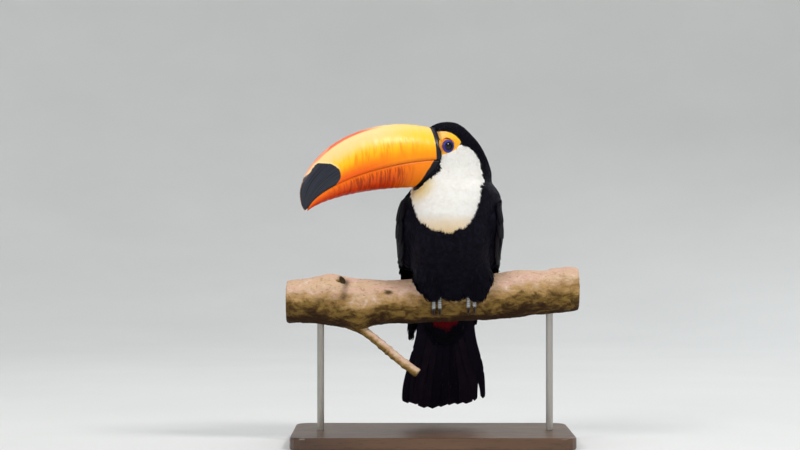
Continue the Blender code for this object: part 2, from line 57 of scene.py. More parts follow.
# Bill: curves of its outlines as (forward, up)
CULMEN = ((-2.0, 36.0), (107.0, 54.5), (182.5, -20.0), (155.5, -59.5))
GAPE = ((-3.0, -1.0), (37.0, -0.5), (138.5, -23.0), (151.5, -56.0))
GONYS = ((18.0, -32.0), (106.0, -34.5), (147.0, -53.5), (152.0, -60.0))
BILL_HALF_WIDTHS = (21.0, 20.0, 18.0, 14.5, 9.5, 2.2)
LOWER_SHARE = 0.95  # the lower bill's width against the upper's
# The lower bill's rear edge: (up, forward)
LOWER_BASE = ((-40.0, 24.0), (-31.0, 20.8), (-14.0, 12.8), (-1.4, 4.7), (5.0, 2.0))
TOOTH = 4.6  # length of a notch in the cutting edges
SPOT_MIDDLE = (138.0, -26.0)  # of the black spot: forward, up
SPOT_HEIGHT = 19.6
SPOT_POWER = 2.7  # how square its oval is

# Eye
EYE_PLACE = (-10.5, 18.6, 14.2)  # forward, aside, up
EYEBALL = 7.6
EYE_CLEAR = 8.3  # no feather stands closer to the eye's middle
LID_PROFILE = np.array((  # (radius, height) from the rim in over the lid to its inner edge
    (11.2, 1.6), (10.3, 4.0), (9.3, 5.1), (8.5, 5.75), (7.6, 6.35), (6.7, 6.95),
    (5.9, 7.5), (5.0, 7.8), (4.4, 7.75), (4.05, 7.35), (4.05, 6.6), (4.2, 5.6),
))
RAY, RAY_REACH = 14.0, 17.0  # the skin under the lid is looked for from this far out, and this far in

# Trunk's axis by height: (height, x, y)
AXIS_KEYS = (
    (140.0, 24.0, 2.0), (206.0, 21.0, -2.5), (250.0, 20.0, -10.5), (289.0, 25.0, -10.5), (318.0, 27.0, -7.5),
    (370.0, 18.0, -11.7),
)

# The white bib's side edges: (height, azimuth in degrees from -Y towards +X)
BIB_LEFT = (
    (238.0, -2.5), (240.5, 7.0), (245.0, 16.0), (253.0, 25.5), (270.0, 35.2), (289.0, 45.5), (293.5, 53.5),
    (298.5, 64.0),
)
BIB_RIGHT = (
    (238.0, -2.5), (240.5, -15.5), (245.0, -28.5), (256.0, -45.5), (273.0, -60.0), (286.0, -82.0),
    (295.0, -112.0), (305.0, -150.0), (318.0, -186.0),
)
BIB_FOOT = 238.5
TRUNK_RADIUS = 50.0  # turns degrees round the trunk into millimetres
CHEEK = (-21.5, -15.0, 30.4)  # forward, up and radius of the white cheek's round back edge
CHEEK_JOIN, FAR_CHEEK_JOIN = (297.0, 303.0), (314.0, 320.0)  # heights where the bib passes into the cheek
FACE = (-7.0, 9.8, 21.4)  # forward, up and radius of the bare face
FACE_FLOOR = 7.3  # height of its lower edge
CHIN = (  # rear edge of the dark chin: (up, forward)
    (-36.0, 16.0), (-31.0, 14.5), (-24.0, 6.6), (-14.0, -2.9), (-4.0, -4.6), (5.0, -5.0),
)

# Wings: edges as (aside from the body's middle, y, z)
BODY_MIDDLE = 20.0
WING_VENTRAL = (
    (43.0, -8.0, 291.0), (50.0, -33.0, 269.0), (51.0, -39.0, 240.0), (54.5, -18.0, 208.0),
    (55.5, 12.0, 197.0), (53.0, 35.0, 180.0), (49.0, 50.0, 150.0), (47.0, 65.0, 116.0),
)
WING_DORSAL = (
    (40.0, -2.0, 292.0), (39.0, 18.0, 277.0), (33.0, 32.0, 252.0), (27.0, 42.0, 226.0),
    (24.0, 51.0, 200.0), (24.0, 59.0, 174.0), (29.0, 66.0, 146.0), (43.0, 70.0, 115.0),
)
WING_BULGES = (2.0, 11.5, 18.0, 19.0, 17.0, 12.0, 6.5, 0.8)
WING_FULLNESS = 0.75
WING_RUN = np.array((0.0, 0.4, -0.9))
WING_RIM = 1.6
WING_SAME = 0.55  # share of the length from which the tip is drawn up and in
WING_LIFT = {"left": 18.0, "right": 0.0}
WING_TUCK = {"left": 14.0, "right": 0.0}
WING_ROWS = (
    # how many; where the first's and the last's roots and tips are, along (t) and across (s) the wing:
    # root t, root s, tip t, tip s; half width, share of the length that rounds the tip, lift
    (8, (0.44, 0.44), (0.08, 0.50), (1.0, 0.86), (0.35, 0.62), 5.4, 0.12, -1.1),
    (9, (0.42, 0.40), (0.26, 0.86), (0.81, 0.73), (0.27, 0.84), 5.6, 0.2, -0.7),
    (3, (0.38, 0.36), (0.74, 0.92), (0.80, 0.87), (0.66, 0.80), 8.0, 0.3, -0.2),
    (13, (0.36, 0.32), (0.06, 0.94), (0.57, 0.53), (0.05, 0.95), 4.9, 0.34, 0.2),
    (13, (0.27, 0.24), (0.06, 0.94), (0.44, 0.42), (0.05, 0.95), 4.7, 0.42, 0.6),
    (13, (0.19, 0.17), (0.08, 0.94), (0.34, 0.32), (0.07, 0.95), 4.5, 0.5, 0.9),
    (12, (0.12, 0.10), (0.10, 0.92), (0.25, 0.23), (0.08, 0.93), 4.4, 0.55, 1.1),
)

# The rump's white patch: middle and half length along the tail, middle and half width along X
RUMP = (34.0, 46.0, 16.5, 25.0)

# Tail
TAIL_START = np.array((17.0, 33.0, 205.0))
TAIL_END = np.array((17.2, 104.0, 30.0))
TAIL_ROOT = 30.0
TAIL_HALF_WIDTHS = (26.5, 29.0, 33.0, 42.0, 50.0, 51.5)
TAIL_FAN = 0.975  # share of the tail's half width that the outer shafts reach
TAIL_LENGTHS = (0.94, 0.955, 0.99, 1.0, 0.99, 0.975, 0.965, 0.955, 0.925, 0.9)

# Perch: (x, height of the axis, radius)
BRANCH_STATIONS = (
    (-167.0, 161.5, 24.3), (-142.0, 162.8, 26.2), (-121.0, 163.8, 29.4), (-101.0, 161.6, 28.9),
    (-84.0, 159.0, 28.6), (-66.0, 161.0, 26.2), (-40.0, 162.3, 25.0), (9.0, 164.3, 25.0), (55.0, 166.6, 25.6),
    (96.0, 170.6, 26.2), (126.0, 172.4, 24.2), (154.0, 175.6, 25.2), (168.0, 176.4, 23.8),
)
BRANCH_RADIUS = 25.0
BARK_WAVES = (
    # height, shrink along X, wavelength, seed, how many waves
    (0.7, 0.5, 34.0, 51, 7),
    (0.45, 0.4, 12.0, 52, 7),
    (0.34, 0.3, 4.6, 53, 11),
    (0.2, 0.7, 2.4, 54, 11),
)
KNOTS = (
    # place, height, radii where its scar starts and is full
    ((112.0, -8.0, 196.0), 1.2, None),
    ((60.0, -20.0, 182.0), 0.9, (3.5, 1.5)),
    ((150.0, -16.0, 194.0), 1.0, None),
    ((-50.0, -21.0, 172.0), 0.8, (4.5, 2.0)),
)
COLLAR = (-113.0, -11.0, 187.0)  # swelling round the stub
COLLAR_RIDGE = ((-106.0, -20.0, 183.0), (-130.0, -25.0, 172.0))
# COLLAR_CREASE is cut in and also darkened as painted shadow; COLLAR_SHADE is a line of painted shade below it
COLLAR_CREASE = ((-97.5, -14.0, 189.0), (-101.0, -27.0, 167.0))
COLLAR_SHADE = ((-108.0, -27.0, 168.0), (-130.0, -27.5, 163.0))
STUB = np.array(((-117.0, -4.0, 177.0), (-102.8, -18.5, 187.2)))
TWIG_FOOT = (-84.0, -6.0, 133.0)
TWIG = np.array(((-88.0, -5.4, 136.0), (-16.5, -18.0, 80.5)))
TWIG_KNOTS = ((0.3, 0.08), (0.42, 0.13), (0.535, 0.22), (0.62, 0.12), (0.8, 0.14))  # (place along it, height)

# Feet
FOOT_PLACES = {"left": 44.5, "right": 5.0}
TOE_RADIUS = 2.9
TOE_TAPER = 0.72
TOE_KNUCKLES = 3
TOE_LEVEL = TOE_RADIUS * 1.1 + 0.3  # height of a toe's axis over the bark
TOE_SPREAD = (2.5, 3.5)
FRONT_TOE = (math.radians(82.0), math.radians(-20.0))
BACK_TOE = (math.radians(98.0), math.radians(186.0))
CLAW_START = math.radians(-2.0)
CLAW_ANGLE = math.radians(24.0)

FLESH = ("head", "neck", "trunk", "wing_left", "wing_right", "thigh_left", "thigh_right", "rump", "undertail")
LIES = (
    # push along X, its height and reach in Z, its depth and reach in Y, where in X it starts and is full
    (5.4, 281.0, 8.5, -8.0, 24.0, 52.0, 68.0),  # over the left shoulder
    (-2.6, 299.5, 6.5, -8.0, 24.0, 52.0, 68.0),  # beside the neck
    (-3.2, 216.0, 17.0, 0.0, 60.0, 54.0, 66.0),  # the left wing's lower half
    (4.5, 191.0, 8.5, 20.0, 60.0, 54.0, 66.0),  # the left wing's tip
    (2.6, 217.0, 17.0, 0.0, 60.0, -12.0, -24.0),  # the right wing's lower half
    (-1.6, 186.0, 8.0, 20.0, 60.0, -8.0, -20.0),  # the right wing's tip
    (7.0, 166.0, 14.0, -40.0, 30.0, 12.0, -8.0),  # beside the right leg
)
SWELL = 0.35  # the solids grow by this before they merge, to close the gaps between them
VOXEL = 1.7
COAT_ROOTS = 170000  # places tried for a feather
PIECE_LIMIT = 190000  # triangles in a piece of the coat
COVER = 7.0  # no feather stands under a body closer than this
UV_PATCH = (0.0014, 0.0028)  # half width and length of a feather's patch on the skin's unwrap
FACE_FEATHER = np.array((4.2, 0.9, 0.4))  # length, half width and lift beside the bare face
BODY_GROWTH = (11.0, 2.8, 0.7)  # how much larger they are far from it

# Stage, in metres
CAMERA_PLACE = (-0.0368, -2.5, 0.25)
LENS = 97.83
FLOOR_RADIUS, FLOOR_BEND, WALL_RISE = 2.0, 2.8, 2.0  # the flat floor, the bend's run outwards and its rise
LIGHTS = (
    # name, place, aim, size, power, colour
    ("key", (1.9, -1.75, 2.9), (0.0, 0.0, 0.28), 0.9, 58.0, (1.0, 0.985, 0.96)),
    ("side", (-2.3, -2.7, 3.0), (0.0, 0.0, 0.24), 1.7, 64.0, (1.0, 0.98, 0.95)),
    ("rim", (1.6, 2.4, 1.9), (0.0, 0.0, 0.25), 1.2, 16.0, (0.93, 0.96, 1.0)),
    ("room", (0.0, 0.4, 3.9), (0.0, 0.4, 0.0), 4.0, 60.0, (1.0, 1.0, 1.0)),
)


# ---- numbers


def unit(v):
    return v / np.maximum(np.linalg.norm(v, axis=-1, keepdims=True), 1e-9)


def ease(low, high, value):
    t = np.clip((value - low) / (high - low), 0.0, 1.0)
    return t * t * (3 - 2 * t)


def bell(distance, width):
    return np.exp(-((distance / width) ** 2))


def turns(count):
    """Angles round a full turn."""
    return np.linspace(0.0, 2 * math.pi, count, endpoint=False)


def stacked(*parts):
    """Points from arrays or numbers for X, Y and Z."""
    return np.stack(np.broadcast_arrays(*parts), -1)


def keyed(rows, value, column=1):
    """Straight interpolation in rows of (place, value...)."""
    return np.interp(value, [row[0] for row in rows], [row[column] for row in rows])


def along(keys, t):
    """Catmull-Rom through evenly spaced keys, for an array of t from 0 to 1."""
    keys = np.array(keys, float)
    keys = keys[:, None] if keys.ndim == 1 else keys
    ends = np.vstack((2 * keys[0] - keys[1], keys, 2 * keys[-1] - keys[-2]))
    place = np.clip(t, 0.0, 1.0) * (len(keys) - 1)
    i = np.minimum(place.astype(int), len(keys) - 2)
    u = (place - i)[..., None]
    a, b, c, d = (ends[i + k] for k in range(4))
    value = 0.5 * (2 * b + (c - a) * u + (2 * a - 5 * b + 4 * c - d) * u**2 + (3 * b - a - 3 * c + d) * u**3)
    return value if value.shape[-1] > 1 else value[..., 0]


def bezier(handles, t):
    a, b, c, d = (np.array(h) for h in handles)
    t = t[..., None]
    return (1 - t) ** 3 * a + 3 * (1 - t) ** 2 * t * b + 3 * (1 - t) * t**2 * c + t**3 * d


def soft_min(a, b, width=2.5):
    """The smaller of two distances, with a rounded corner where they meet."""
    gap = np.clip(1 - np.abs(a - b) / width, 0.0, 1.0)
    return np.minimum(a, b) - 0.25 * width * gap**2


def from_head(forward, aside, up):
    forward, aside, up = (np.asarray(v, float)[..., None] for v in (forward, aside, up))
    return BILL_BASE + forward * AHEAD + aside * LEFT + up * UP


def in_head(points):
    away = points - BILL_BASE
    return away @ AHEAD, away @ LEFT, away[..., 2]


def ripple(points, size, seed, count=7):
    """Smooth noise from -1 to 1, as a sum of waves of about this length. Points in any units."""
    draw = np.random.default_rng(seed)
    waves = unit(draw.normal(size=(count, 3))) * (2 * math.pi / size) * draw.uniform(0.7, 1.6, (count, 1))
    return np.sin(points @ waves.T + draw.uniform(0, 6.28, count)).sum(-1) / count**0.5 * 0.8


# ---- meshes


def placed(name, data):
    made = bpy.data.objects.new(name, data)
    bpy.context.scene.collection.objects.link(made)
    return made


def make_piece(name, points, faces, finish, slot, replaces=(), fields=None, uv=None):
    """A piece that rides on the root. faces is a list of index arrays, one row for each face."""
    mesh = bpy.data.meshes.new(name)
    points = np.asarray(points, float).reshape(-1, 3)
    mesh.vertices.add(len(points))
    mesh.vertices.foreach_set("co", (points * MM).astype(np.float32).ravel())
    sizes = np.concatenate([np.full(len(f), f.shape[1]) for f in faces])
    corners = np.concatenate([f.ravel() for f in faces]).astype(np.int32)
    mesh.loops.add(len(corners))
    mesh.loops.foreach_set("vertex_index", corners)
    mesh.polygons.add(len(sizes))
    mesh.polygons.foreach_set("loop_start", (np.cumsum(sizes) - sizes).astype(np.int32))
    mesh.update(calc_edges=True)
    for key, values in (fields or {}).items():
        layer = mesh.attributes.new(key, "FLOAT", "POINT")
        layer.data.foreach_set("value", np.asarray(values, np.float32).ravel())
    if uv is not None:
        layer = mesh.uv_layers.new(name="OFBake")
        layer.data.foreach_set("uv", uv[corners].astype(np.float32).ravel())
    mesh.shade_smooth()
    mesh.materials.append(finish)
    made = placed(name, mesh)
    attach(made, "root")
    if replaces:
        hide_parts(*replaces)
    return made


def tube_faces(rows, columns):
    """Quads between the rings of a tube: rows of columns points."""
    i, j = np.meshgrid(np.arange(rows - 1), np.arange(columns), indexing="ij")
    k = (j + 1) % columns
    here, there = i * columns, (i + 1) * columns
    return np.stack((here + j, here + k, there + k, there + j), -1).reshape(-1, 4)


def outward(points, faces):
    """The faces of one closed body, turned so that they face outwards."""
    middle = points.mean(axis=0)
    volume = 0.0
    for rows in faces:
        corners = points[rows] - middle
        for k in range(1, rows.shape[1] - 1):
            volume += (corners[:, 0] * np.cross(corners[:, k], corners[:, k + 1])).sum()
    return faces if volume > 0 else [rows[:, ::-1] for rows in faces]


class Parts:
    """Collects the closed tubes of one piece, with their fields."""

    def __init__(self):
        self.points, self.faces, self.fields, self.total = [], [], {}, 0

    def add(self, grid, **fields):
        """Adds a tube through the rows of a grid, with a face over each end."""
        rows, columns = grid.shape[:2]
        points = grid.reshape(-1, 3)
        last = (rows - 1) * columns + np.arange(columns)
        faces = outward(points, [tube_faces(rows, columns), np.arange(columns)[None, ::-1], last[None]])
        self.faces += [f + self.total for f in faces]
        self.points.append(points)
        self.total += len(points)
        for key, values in fields.items():
            self.fields.setdefault(key, []).append(np.broadcast_to(values, (rows, columns)).ravel())

    def make(self, name, finish, slot, replaces=()):
        fields = {key: np.concatenate(values) for key, values in self.fields.items()}
        return make_piece(name, np.concatenate(self.points), self.faces, finish, slot, replaces, fields)


def make_tube(name, grid, finish, slot, replaces=(), **fields):
    parts = Parts()
    parts.add(grid, **fields)
    return parts.make(name, finish, slot, replaces)


def sheet_normals(grid):
    """Normals of a grid of points (rows, columns, 3)."""
    return unit(np.cross(np.gradient(grid, axis=1), np.gradient(grid, axis=0)))


def read(rows, key, width, kind=float):
    """One property of the rows of a mesh, of width numbers each."""
    values = np.empty(len(rows) * width, kind)
    rows.foreach_get(key, values)
    return values.reshape(-1, width)


def mesh_arrays(mesh):
    """Points and triangles, in the mesh's own unit."""
    mesh.calc_loop_triangles()
    return read(mesh.vertices, "co", 3), read(mesh.loop_triangles, "vertices", 3, np.int32)


def vertex_normals(mesh):
    return read(mesh.vertices, "normal", 3)


def tree_of(points, triangles):
    return BVHTree.FromPolygons(points.tolist(), triangles.tolist())


def node_tree(names):
    """A tree of the shapes of these nodes, in millimetres."""
    places, faces = [], []
    for name in names:
        points, triangles = mesh_arrays(NODES[name].data)
        faces += (triangles + len(places)).tolist()
        places += (points / MM).tolist()
    return BVHTree.FromPolygons(places, faces)


# ---- materials


class Value:
    """A node's output, for sums that are written as with numbers."""

    def __init__(self, finish, socket):
        self.finish, self.socket = finish, socket

    def __add__(self, other):
        return self.finish.math("ADD", self, other)

    def __sub__(self, other):
        return self.finish.math("SUBTRACT", self, other)

    def __mul__(self, other):
        return self.finish.math("MULTIPLY", self, other)

    def __truediv__(self, other):
        return self.finish.math("DIVIDE", self, other)

    def __abs__(self):
        return self.finish.math("ABSOLUTE", self)


class Finish:
    """A procedural material, built up one node at a time. finish["key"] is the piece's field of that name."""

    def __init__(self, name, **constants):
        self.material = bpy.data.materials.new(name)
        self.material.use_nodes = True
        self.tree = self.material.node_tree
        self.shader = self.tree.nodes["Principled BSDF"]
        for key, value in constants.items():
            self.shader.inputs[key.replace("_", " ")].default_value = value
        self.place = self.node("TexCoord", "Object", {})

    def put(self, socket, value):
        if isinstance(value, Value):
            self.tree.links.new(value.socket, socket)
        elif isinstance(value, tuple) and len(value) == 3 and socket.type == "RGBA":
            socket.default_value = (*value, 1.0)
        else:
            socket.default_value = value

    def node(self, kind, output, inputs, **settings):
        node = self.tree.nodes.new("ShaderNode" + kind)
        for key, value in settings.items():
            setattr(node, key, value)
        for key, value in inputs.items():
            self.put(node.inputs[key], value)
        return Value(self, node.outputs[output])

    def __getitem__(self, name):
        return self.node("Attribute", "Fac", {}, attribute_name=name)

    def math(self, operation, *values):
        return self.node("Math", 0, dict(enumerate(values)), operation=operation)

    def joined(self, *values):
        return self.node("CombineXYZ", 0, dict(enumerate(values)))

    def noise(self, scale, detail=3.0, roughness=0.55, warp=0.0, place=None):
        """Noise from 0 to 1. scale is the waves in a metre or in a unit of place (x, y), or one for each axis."""
        if isinstance(scale, tuple):
            place, scale = self.node("VectorMath", 0, {0: self.place, 1: scale}, operation="MULTIPLY"), 1.0
        else:
            place = self.joined(*place) if place else self.place
        inputs = {"Vector": place, "Scale": scale, "Detail": detail}
        return self.node("TexNoise", "Fac", {**inputs, "Roughness": roughness, "Distortion": warp})

    def cells(self, scale):
        return self.node("TexVoronoi", "Distance", {"Vector": self.place, "Scale": scale})

    def lines(self, scale, x, y=0.0, warp=0.0):
        """Waves across x, from 0 to 1."""
        inputs = {"Vector": self.joined(x, y), "Scale": scale, "Distortion": warp, "Detail Scale": 2.0}
        return self.node("TexWave", "Fac", inputs)

    def ramp(self, value, *stops):
        """A colour or grey by value, through (place, colour or grey) stops."""
        node = self.tree.nodes.new("ShaderNodeValToRGB")
        ramp = node.color_ramp
        while len(ramp.elements) < len(stops):
            ramp.elements.new(0.5)
        for element, (place, colour) in zip(ramp.elements, stops):
            element.position = place
            element.color = (*colour, 1.0) if isinstance(colour, tuple) else (colour, colour, colour, 1.0)
        self.put(node.inputs["Fac"], value)
        return Value(self, node.outputs["Color"])

    def edge(self, value, low, high):
        """0 below low and 1 above high, smooth between."""
        inputs = {"Value": value, "From Min": low, "From Max": high}
        return self.node("MapRange", "Result", inputs, interpolation_type="SMOOTHSTEP")

    def layers(self, colour, *over):
        """The first colour with (share, colour) layers over it."""
        for share, layer in over:
            colour = self.node("Mix", 2, {0: share, 6: colour, 7: layer}, data_type="RGBA")
        return colour

    def bump(self, height, strength, distance):
        """Adds relief, distance in millimetres, on top of what is there already."""
        socket = self.shader.inputs["Normal"]
        inputs = {"Height": height, "Strength": strength, "Distance": distance * MM}
        if socket.is_linked:
            inputs["Normal"] = Value(self, socket.links[0].from_socket)
        self.put(socket, self.node("Bump", "Normal", inputs))

    def done(self, colour, value=None, *stops):
        """The material, with its roughness by value through (place, roughness) stops."""
        self.put(self.shader.inputs["Base Color"], colour)
        if stops:
            self.put(self.shader.inputs["Roughness"], self.ramp(value, *stops))
        return self.material


# ---- finishes


def scaled(factor, *colour):
    return tuple(factor * c for c in colour)


def paler(light, *colour):
    return tuple(c + light for c in colour)


def bump_barbs(made, strength, distance):
    """Fine lines that lean out from the shaft of a small feather."""
    made.bump(made.lines(5.0, abs(made["across"]) - made["run"] * 0.7, warp=1.0), strength, distance)


def black_plumage():
    made = Finish("plumage_black", Sheen_Weight=0.02, Sheen_Roughness=0.3, Sheen_Tint=(0.35, 0.4, 0.9, 1.0),
                  Specular_IOR_Level=0.06)
    colour = made.ramp(
        made["tone"] + made.noise(60.0) * 0.5,
        (0.0, (0.0012, 0.0012, 0.003)), (0.75, (0.003, 0.003, 0.007)), (1.0, (0.006, 0.005, 0.011)),
    )
    bump_barbs(made, 0.35, 0.15)
    return made.done(colour, made.noise(400.0), (0.3, 0.5), (0.7, 0.66))


def white_plumage():
    made = Finish("plumage_white", Sheen_Weight=0.1, Sheen_Roughness=0.5)
    colour = made.layers(
        made.ramp(
            made["tone"],
            (0.0, (0.88, 0.86, 0.81)), (0.5, (0.92, 0.905, 0.865)), (1.0, (0.95, 0.94, 0.91)),
        ),
        (made["cream"], (0.78, 0.57, 0.3)),
        (made["gold"] * 0.7, (0.78, 0.56, 0.08)),
    )
    bump_barbs(made, 0.2, 0.1)
    return made.done(colour, made.noise(300.0), (0.3, 0.75), (0.7, 0.95))


def red_plumage():
    made = Finish("plumage_red", Specular_IOR_Level=0.1)
    # a deep red, partly the coverts' own colour and partly painted shade for the patch under the tail
    colour = made.ramp(made["tone"], (0.0, (0.07, 0.001, 0.004)), (1.0, (0.2, 0.002, 0.008)))
    bump_barbs(made, 0.3, 0.12)
    return made.done(colour, made.noise(300.0), (0.3, 0.5), (0.7, 0.7))


def flight_plumage(name, light):
    """Long feathers: run and across are in millimetres there. light brightens them."""
    made = Finish(name, Sheen_Weight=0.01, Sheen_Roughness=0.3, Sheen_Tint=(0.4, 0.4, 0.85, 1.0),
                  Specular_IOR_Level=0.045)
    barbs = made.lines(0.55, made["run"] - abs(made["across"]) * 1.1, warp=0.6)
    colour = made.ramp(
        made["tone"] * 0.6 + made.noise(90.0) * 0.4,
        (0.0, scaled(light, 0.0016, 0.0013, 0.0034)), (0.6, scaled(light, 0.0034, 0.0025, 0.0055)),
        (1.0, scaled(light, 0.009, 0.0055, 0.008)),
    )
    made.bump(barbs, 0.5, 0.12)
    return made.done(colour, barbs, (0.2, 0.46), (0.8, 0.6))


def skin_finish():
    """All markings on one skin, in line with the coat's."""
    made = Finish("skin", Specular_IOR_Level=0.25)
    edge = made.edge
    folds = made.noise(420.0, 4.0, warp=1.2)
    face = made.ramp(
        made.noise(75.0, 2.0) * 0.5 + folds * 0.5,
        (0.25, (0.9, 0.28, 0.008)), (0.45, (0.93, 0.42, 0.008)), (0.6, (0.96, 0.55, 0.012)),
        (0.8, (1.0, 0.66, 0.07)),
    )
    colour = made.layers(
        made.ramp(made.noise(200.0), (0.3, (0.006, 0.006, 0.01)), (0.7, (0.014, 0.013, 0.02))),
        (edge(made["white"], -0.3, 0.3), made.layers((0.88, 0.86, 0.8), (made["cream"], (0.82, 0.66, 0.4)))),
        (edge(made["red"], -0.5, 0.5), (0.3, 0.008, 0.01)),
        (edge(made["bare"], -0.4, 0.3), made.layers(face, (made["pale"] * 0.7, (1.0, 0.6, 0.22)))),
    )
    made.bump(folds, 0.5, 0.5)
    made.bump(made.cells(900.0), 0.25, 0.2)
    return made.done(colour, folds, (0.3, 0.42), (0.7, 0.62))


def lid_finish():
    made = Finish("lid", Coat_Weight=0.12, Coat_Roughness=0.15, Specular_IOR_Level=0.3)
    grain = made.noise(600.0, warp=0.8)
    colour = made.ramp(
        (made["out"] + (grain - 0.5) * 0.9) / 10.5,
        (0.40, (0.003, 0.003, 0.012)), (0.47, (0.008, 0.008, 0.08)), (0.54, (0.016, 0.02, 0.24)),
        (0.61, (0.035, 0.03, 0.38)), (0.665, (0.04, 0.014, 0.13)), (0.70, (0.10, 0.025, 0.02)),
        (0.74, (0.8, 0.3, 0.08)), (0.9, (0.95, 0.44, 0.02)),
    )
    made.bump(made.lines(0.9, made["out"], made["turn"], 3.0), 0.12, 0.2)
    made.bump(grain, 0.4, 0.3)
    return made.done(colour, grain, (0.3, 0.3), (0.7, 0.5))


def eye_finish():
    """A black pupil in a dark iris, and a blue-black white of the eye round it."""
    made = Finish("eye", Specular_IOR_Level=0.4)
    ring = made["ring"]
    streaks = made.noise(3.0, place=(made["turn"] * 6.0, ring * 0.25))
    iris = made.ramp(streaks, (0.3, (0.006, 0.004, 0.006)), (0.7, (0.018, 0.009, 0.010)))
    colour = made.layers(
        (0.0015, 0.0015, 0.002),
        (made.edge(ring, 2.2, 2.6), iris),
        (made.edge(ring, 4.3, 5.0), (0.01, 0.012, 0.03)),
    )
    return made.done(colour, streaks, (0.0, 0.05), (1.0, 0.09))


def growth(made, amount):
    """Faint relief of the horn: streaks across the bill, and fine lines along it."""
    forward, height = made["forward"], made["height"]
    across = made.noise(1.0, place=(forward * 0.16, height * 0.8))
    along_it = made.noise(1.0, 4.0, place=(forward * 0.03, height * 26.0))
    made.bump(across, 0.5 * amount, 1.2)
    made.bump(along_it, 0.3 * amount, 0.25)
    return across, along_it


def upper_finish():
    made = Finish("bill_upper", Coat_Weight=0.12, Coat_Roughness=0.2, Specular_IOR_Level=0.16)
    across, along_it = growth(made, 0.6)
    height, forward, spot, edge = made["height"], made["forward"], made["spot"], made.edge
    place = height + (across - 0.5) * 0.22
    bars = made.noise(1.0, 2.0, 0.5, 0.4, place=(forward * 0.27, height * 1.6))
    middle = edge(forward, 14.0, 40.0) * edge(forward, 128.0, 100.0) * edge(abs(height - 0.4), 0.34, 0.05)
    wander = (made.noise(220.0) - 0.5) * 2.2
    slate = made.ramp(
        along_it, (0.3, (0.014, 0.016, 0.024)), (0.62, (0.034, 0.037, 0.052)), (0.8, (0.10, 0.105, 0.13)),
    )
    colour = made.ramp(
        place,
        (0.0, (1.0, 0.25, 0.006)), (0.2, (1.0, 0.35, 0.006)), (0.42, (1.0, 0.52, 0.01)),
        (0.62, (1.0, 0.62, 0.03)), (0.8, (1.0, 0.64, 0.1)), (0.95, (1.0, 0.66, 0.18)),
    )
    colour = made.layers(
        colour,
        # painted highlight: a pale cream over the upper middle of the bill
        (edge(forward, 25.0, 75.0) * edge(place, 0.5, 0.85) * 0.75, (1.0, 0.68, 0.34)),
        (edge(forward, 30.0, 100.0) * edge(height, 0.5, 0.04), (0.96, 0.12, 0.005)),
        (edge(bars, 0.44, 0.64) * middle * 0.7, (0.94, 0.24, 0.005)),
        (edge(made["ridge"], -0.8, 0.8) * edge(forward, 55.0, 92.0) * 0.9, (0.78, 0.1, 0.045)),
        (edge(made["rim"], -0.5, 0.5) * 0.7, (0.95, 0.62, 0.42)),
        (edge(spot + wander * 1.6, -3.2, -0.4) * edge(height, 0.3, 0.6) * 0.55, (1.0, 0.76, 0.42)),
        (edge(spot + wander, -0.5, 0.5), slate),
        (edge(made["band"] + wander * 0.3, -0.3, 0.3), (0.014, 0.014, 0.024)),
    )
    return made.done(colour, along_it, (0.3, 0.24), (0.7, 0.4))


def lower_finish():
    made = Finish("bill_lower", Coat_Weight=0.06, Coat_Roughness=0.22, Specular_IOR_Level=0.12)
    across, along_it = growth(made, 1.0)
    height, forward, edge = made["height"], made["forward"], made.edge
    streak = made.noise(1.0, 3.0, 0.55, 0.3, place=((forward + height * 3.0) * 0.38, height * 1.1))
    middle = edge(forward, 22.0, 50.0) * edge(forward, 140.0, 100.0) * edge(height, 0.02, 0.22)
    wander = (made.noise(220.0) - 0.5) * 1.2
    colour = made.ramp(
        height + (across - 0.5) * 0.25,
        (0.0, (1.0, 0.2, 0.008)), (0.35, (0.86, 0.12, 0.006)), (0.75, (0.72, 0.055, 0.005)),
        (1.0, (0.42, 0.018, 0.005)),
    )
    colour = made.layers(
        colour,
        (edge(forward, 62.0, 12.0) * 0.85, (1.0, 0.27, 0.008)),
        (edge(streak, 0.42, 0.62) * middle * 0.72, (0.27, 0.022, 0.003)),
        (edge(height, 0.05, 0.0) * 0.5, (1.0, 0.4, 0.05)),
        (edge(made["band"] + wander, -0.4, 0.4), (0.01, 0.012, 0.016)),
    )
    return made.done(colour, along_it, (0.3, 0.26), (0.7, 0.42))


def foot_finish():
    made = Finish("foot_skin")
    grain = made.noise(700.0)
    colour = made.ramp(
        # pale scutes on the toes' upper side, partly their own grey and partly painted highlight
        made["scute"] * 0.45 + grain * 0.55,
        (0.2, (0.045, 0.048, 0.052)), (0.5, (0.2, 0.21, 0.22)), (0.8, (0.55, 0.55, 0.53)),
    )
    made.bump(made.cells(650.0), 0.3, 0.2)
    return made.done(colour, grain, (0.3, 0.4), (0.7, 0.6))


def claw_finish():
    made = Finish("claw")
    lines = made.noise((250.0, 900.0, 250.0))
    colour = made.ramp(lines, (0.3, (0.006, 0.004, 0.004)), (0.7, (0.025, 0.014, 0.01)))
    made.bump(lines, 0.3, 0.15)
    return made.done(colour, lines, (0.3, 0.25), (0.7, 0.4))


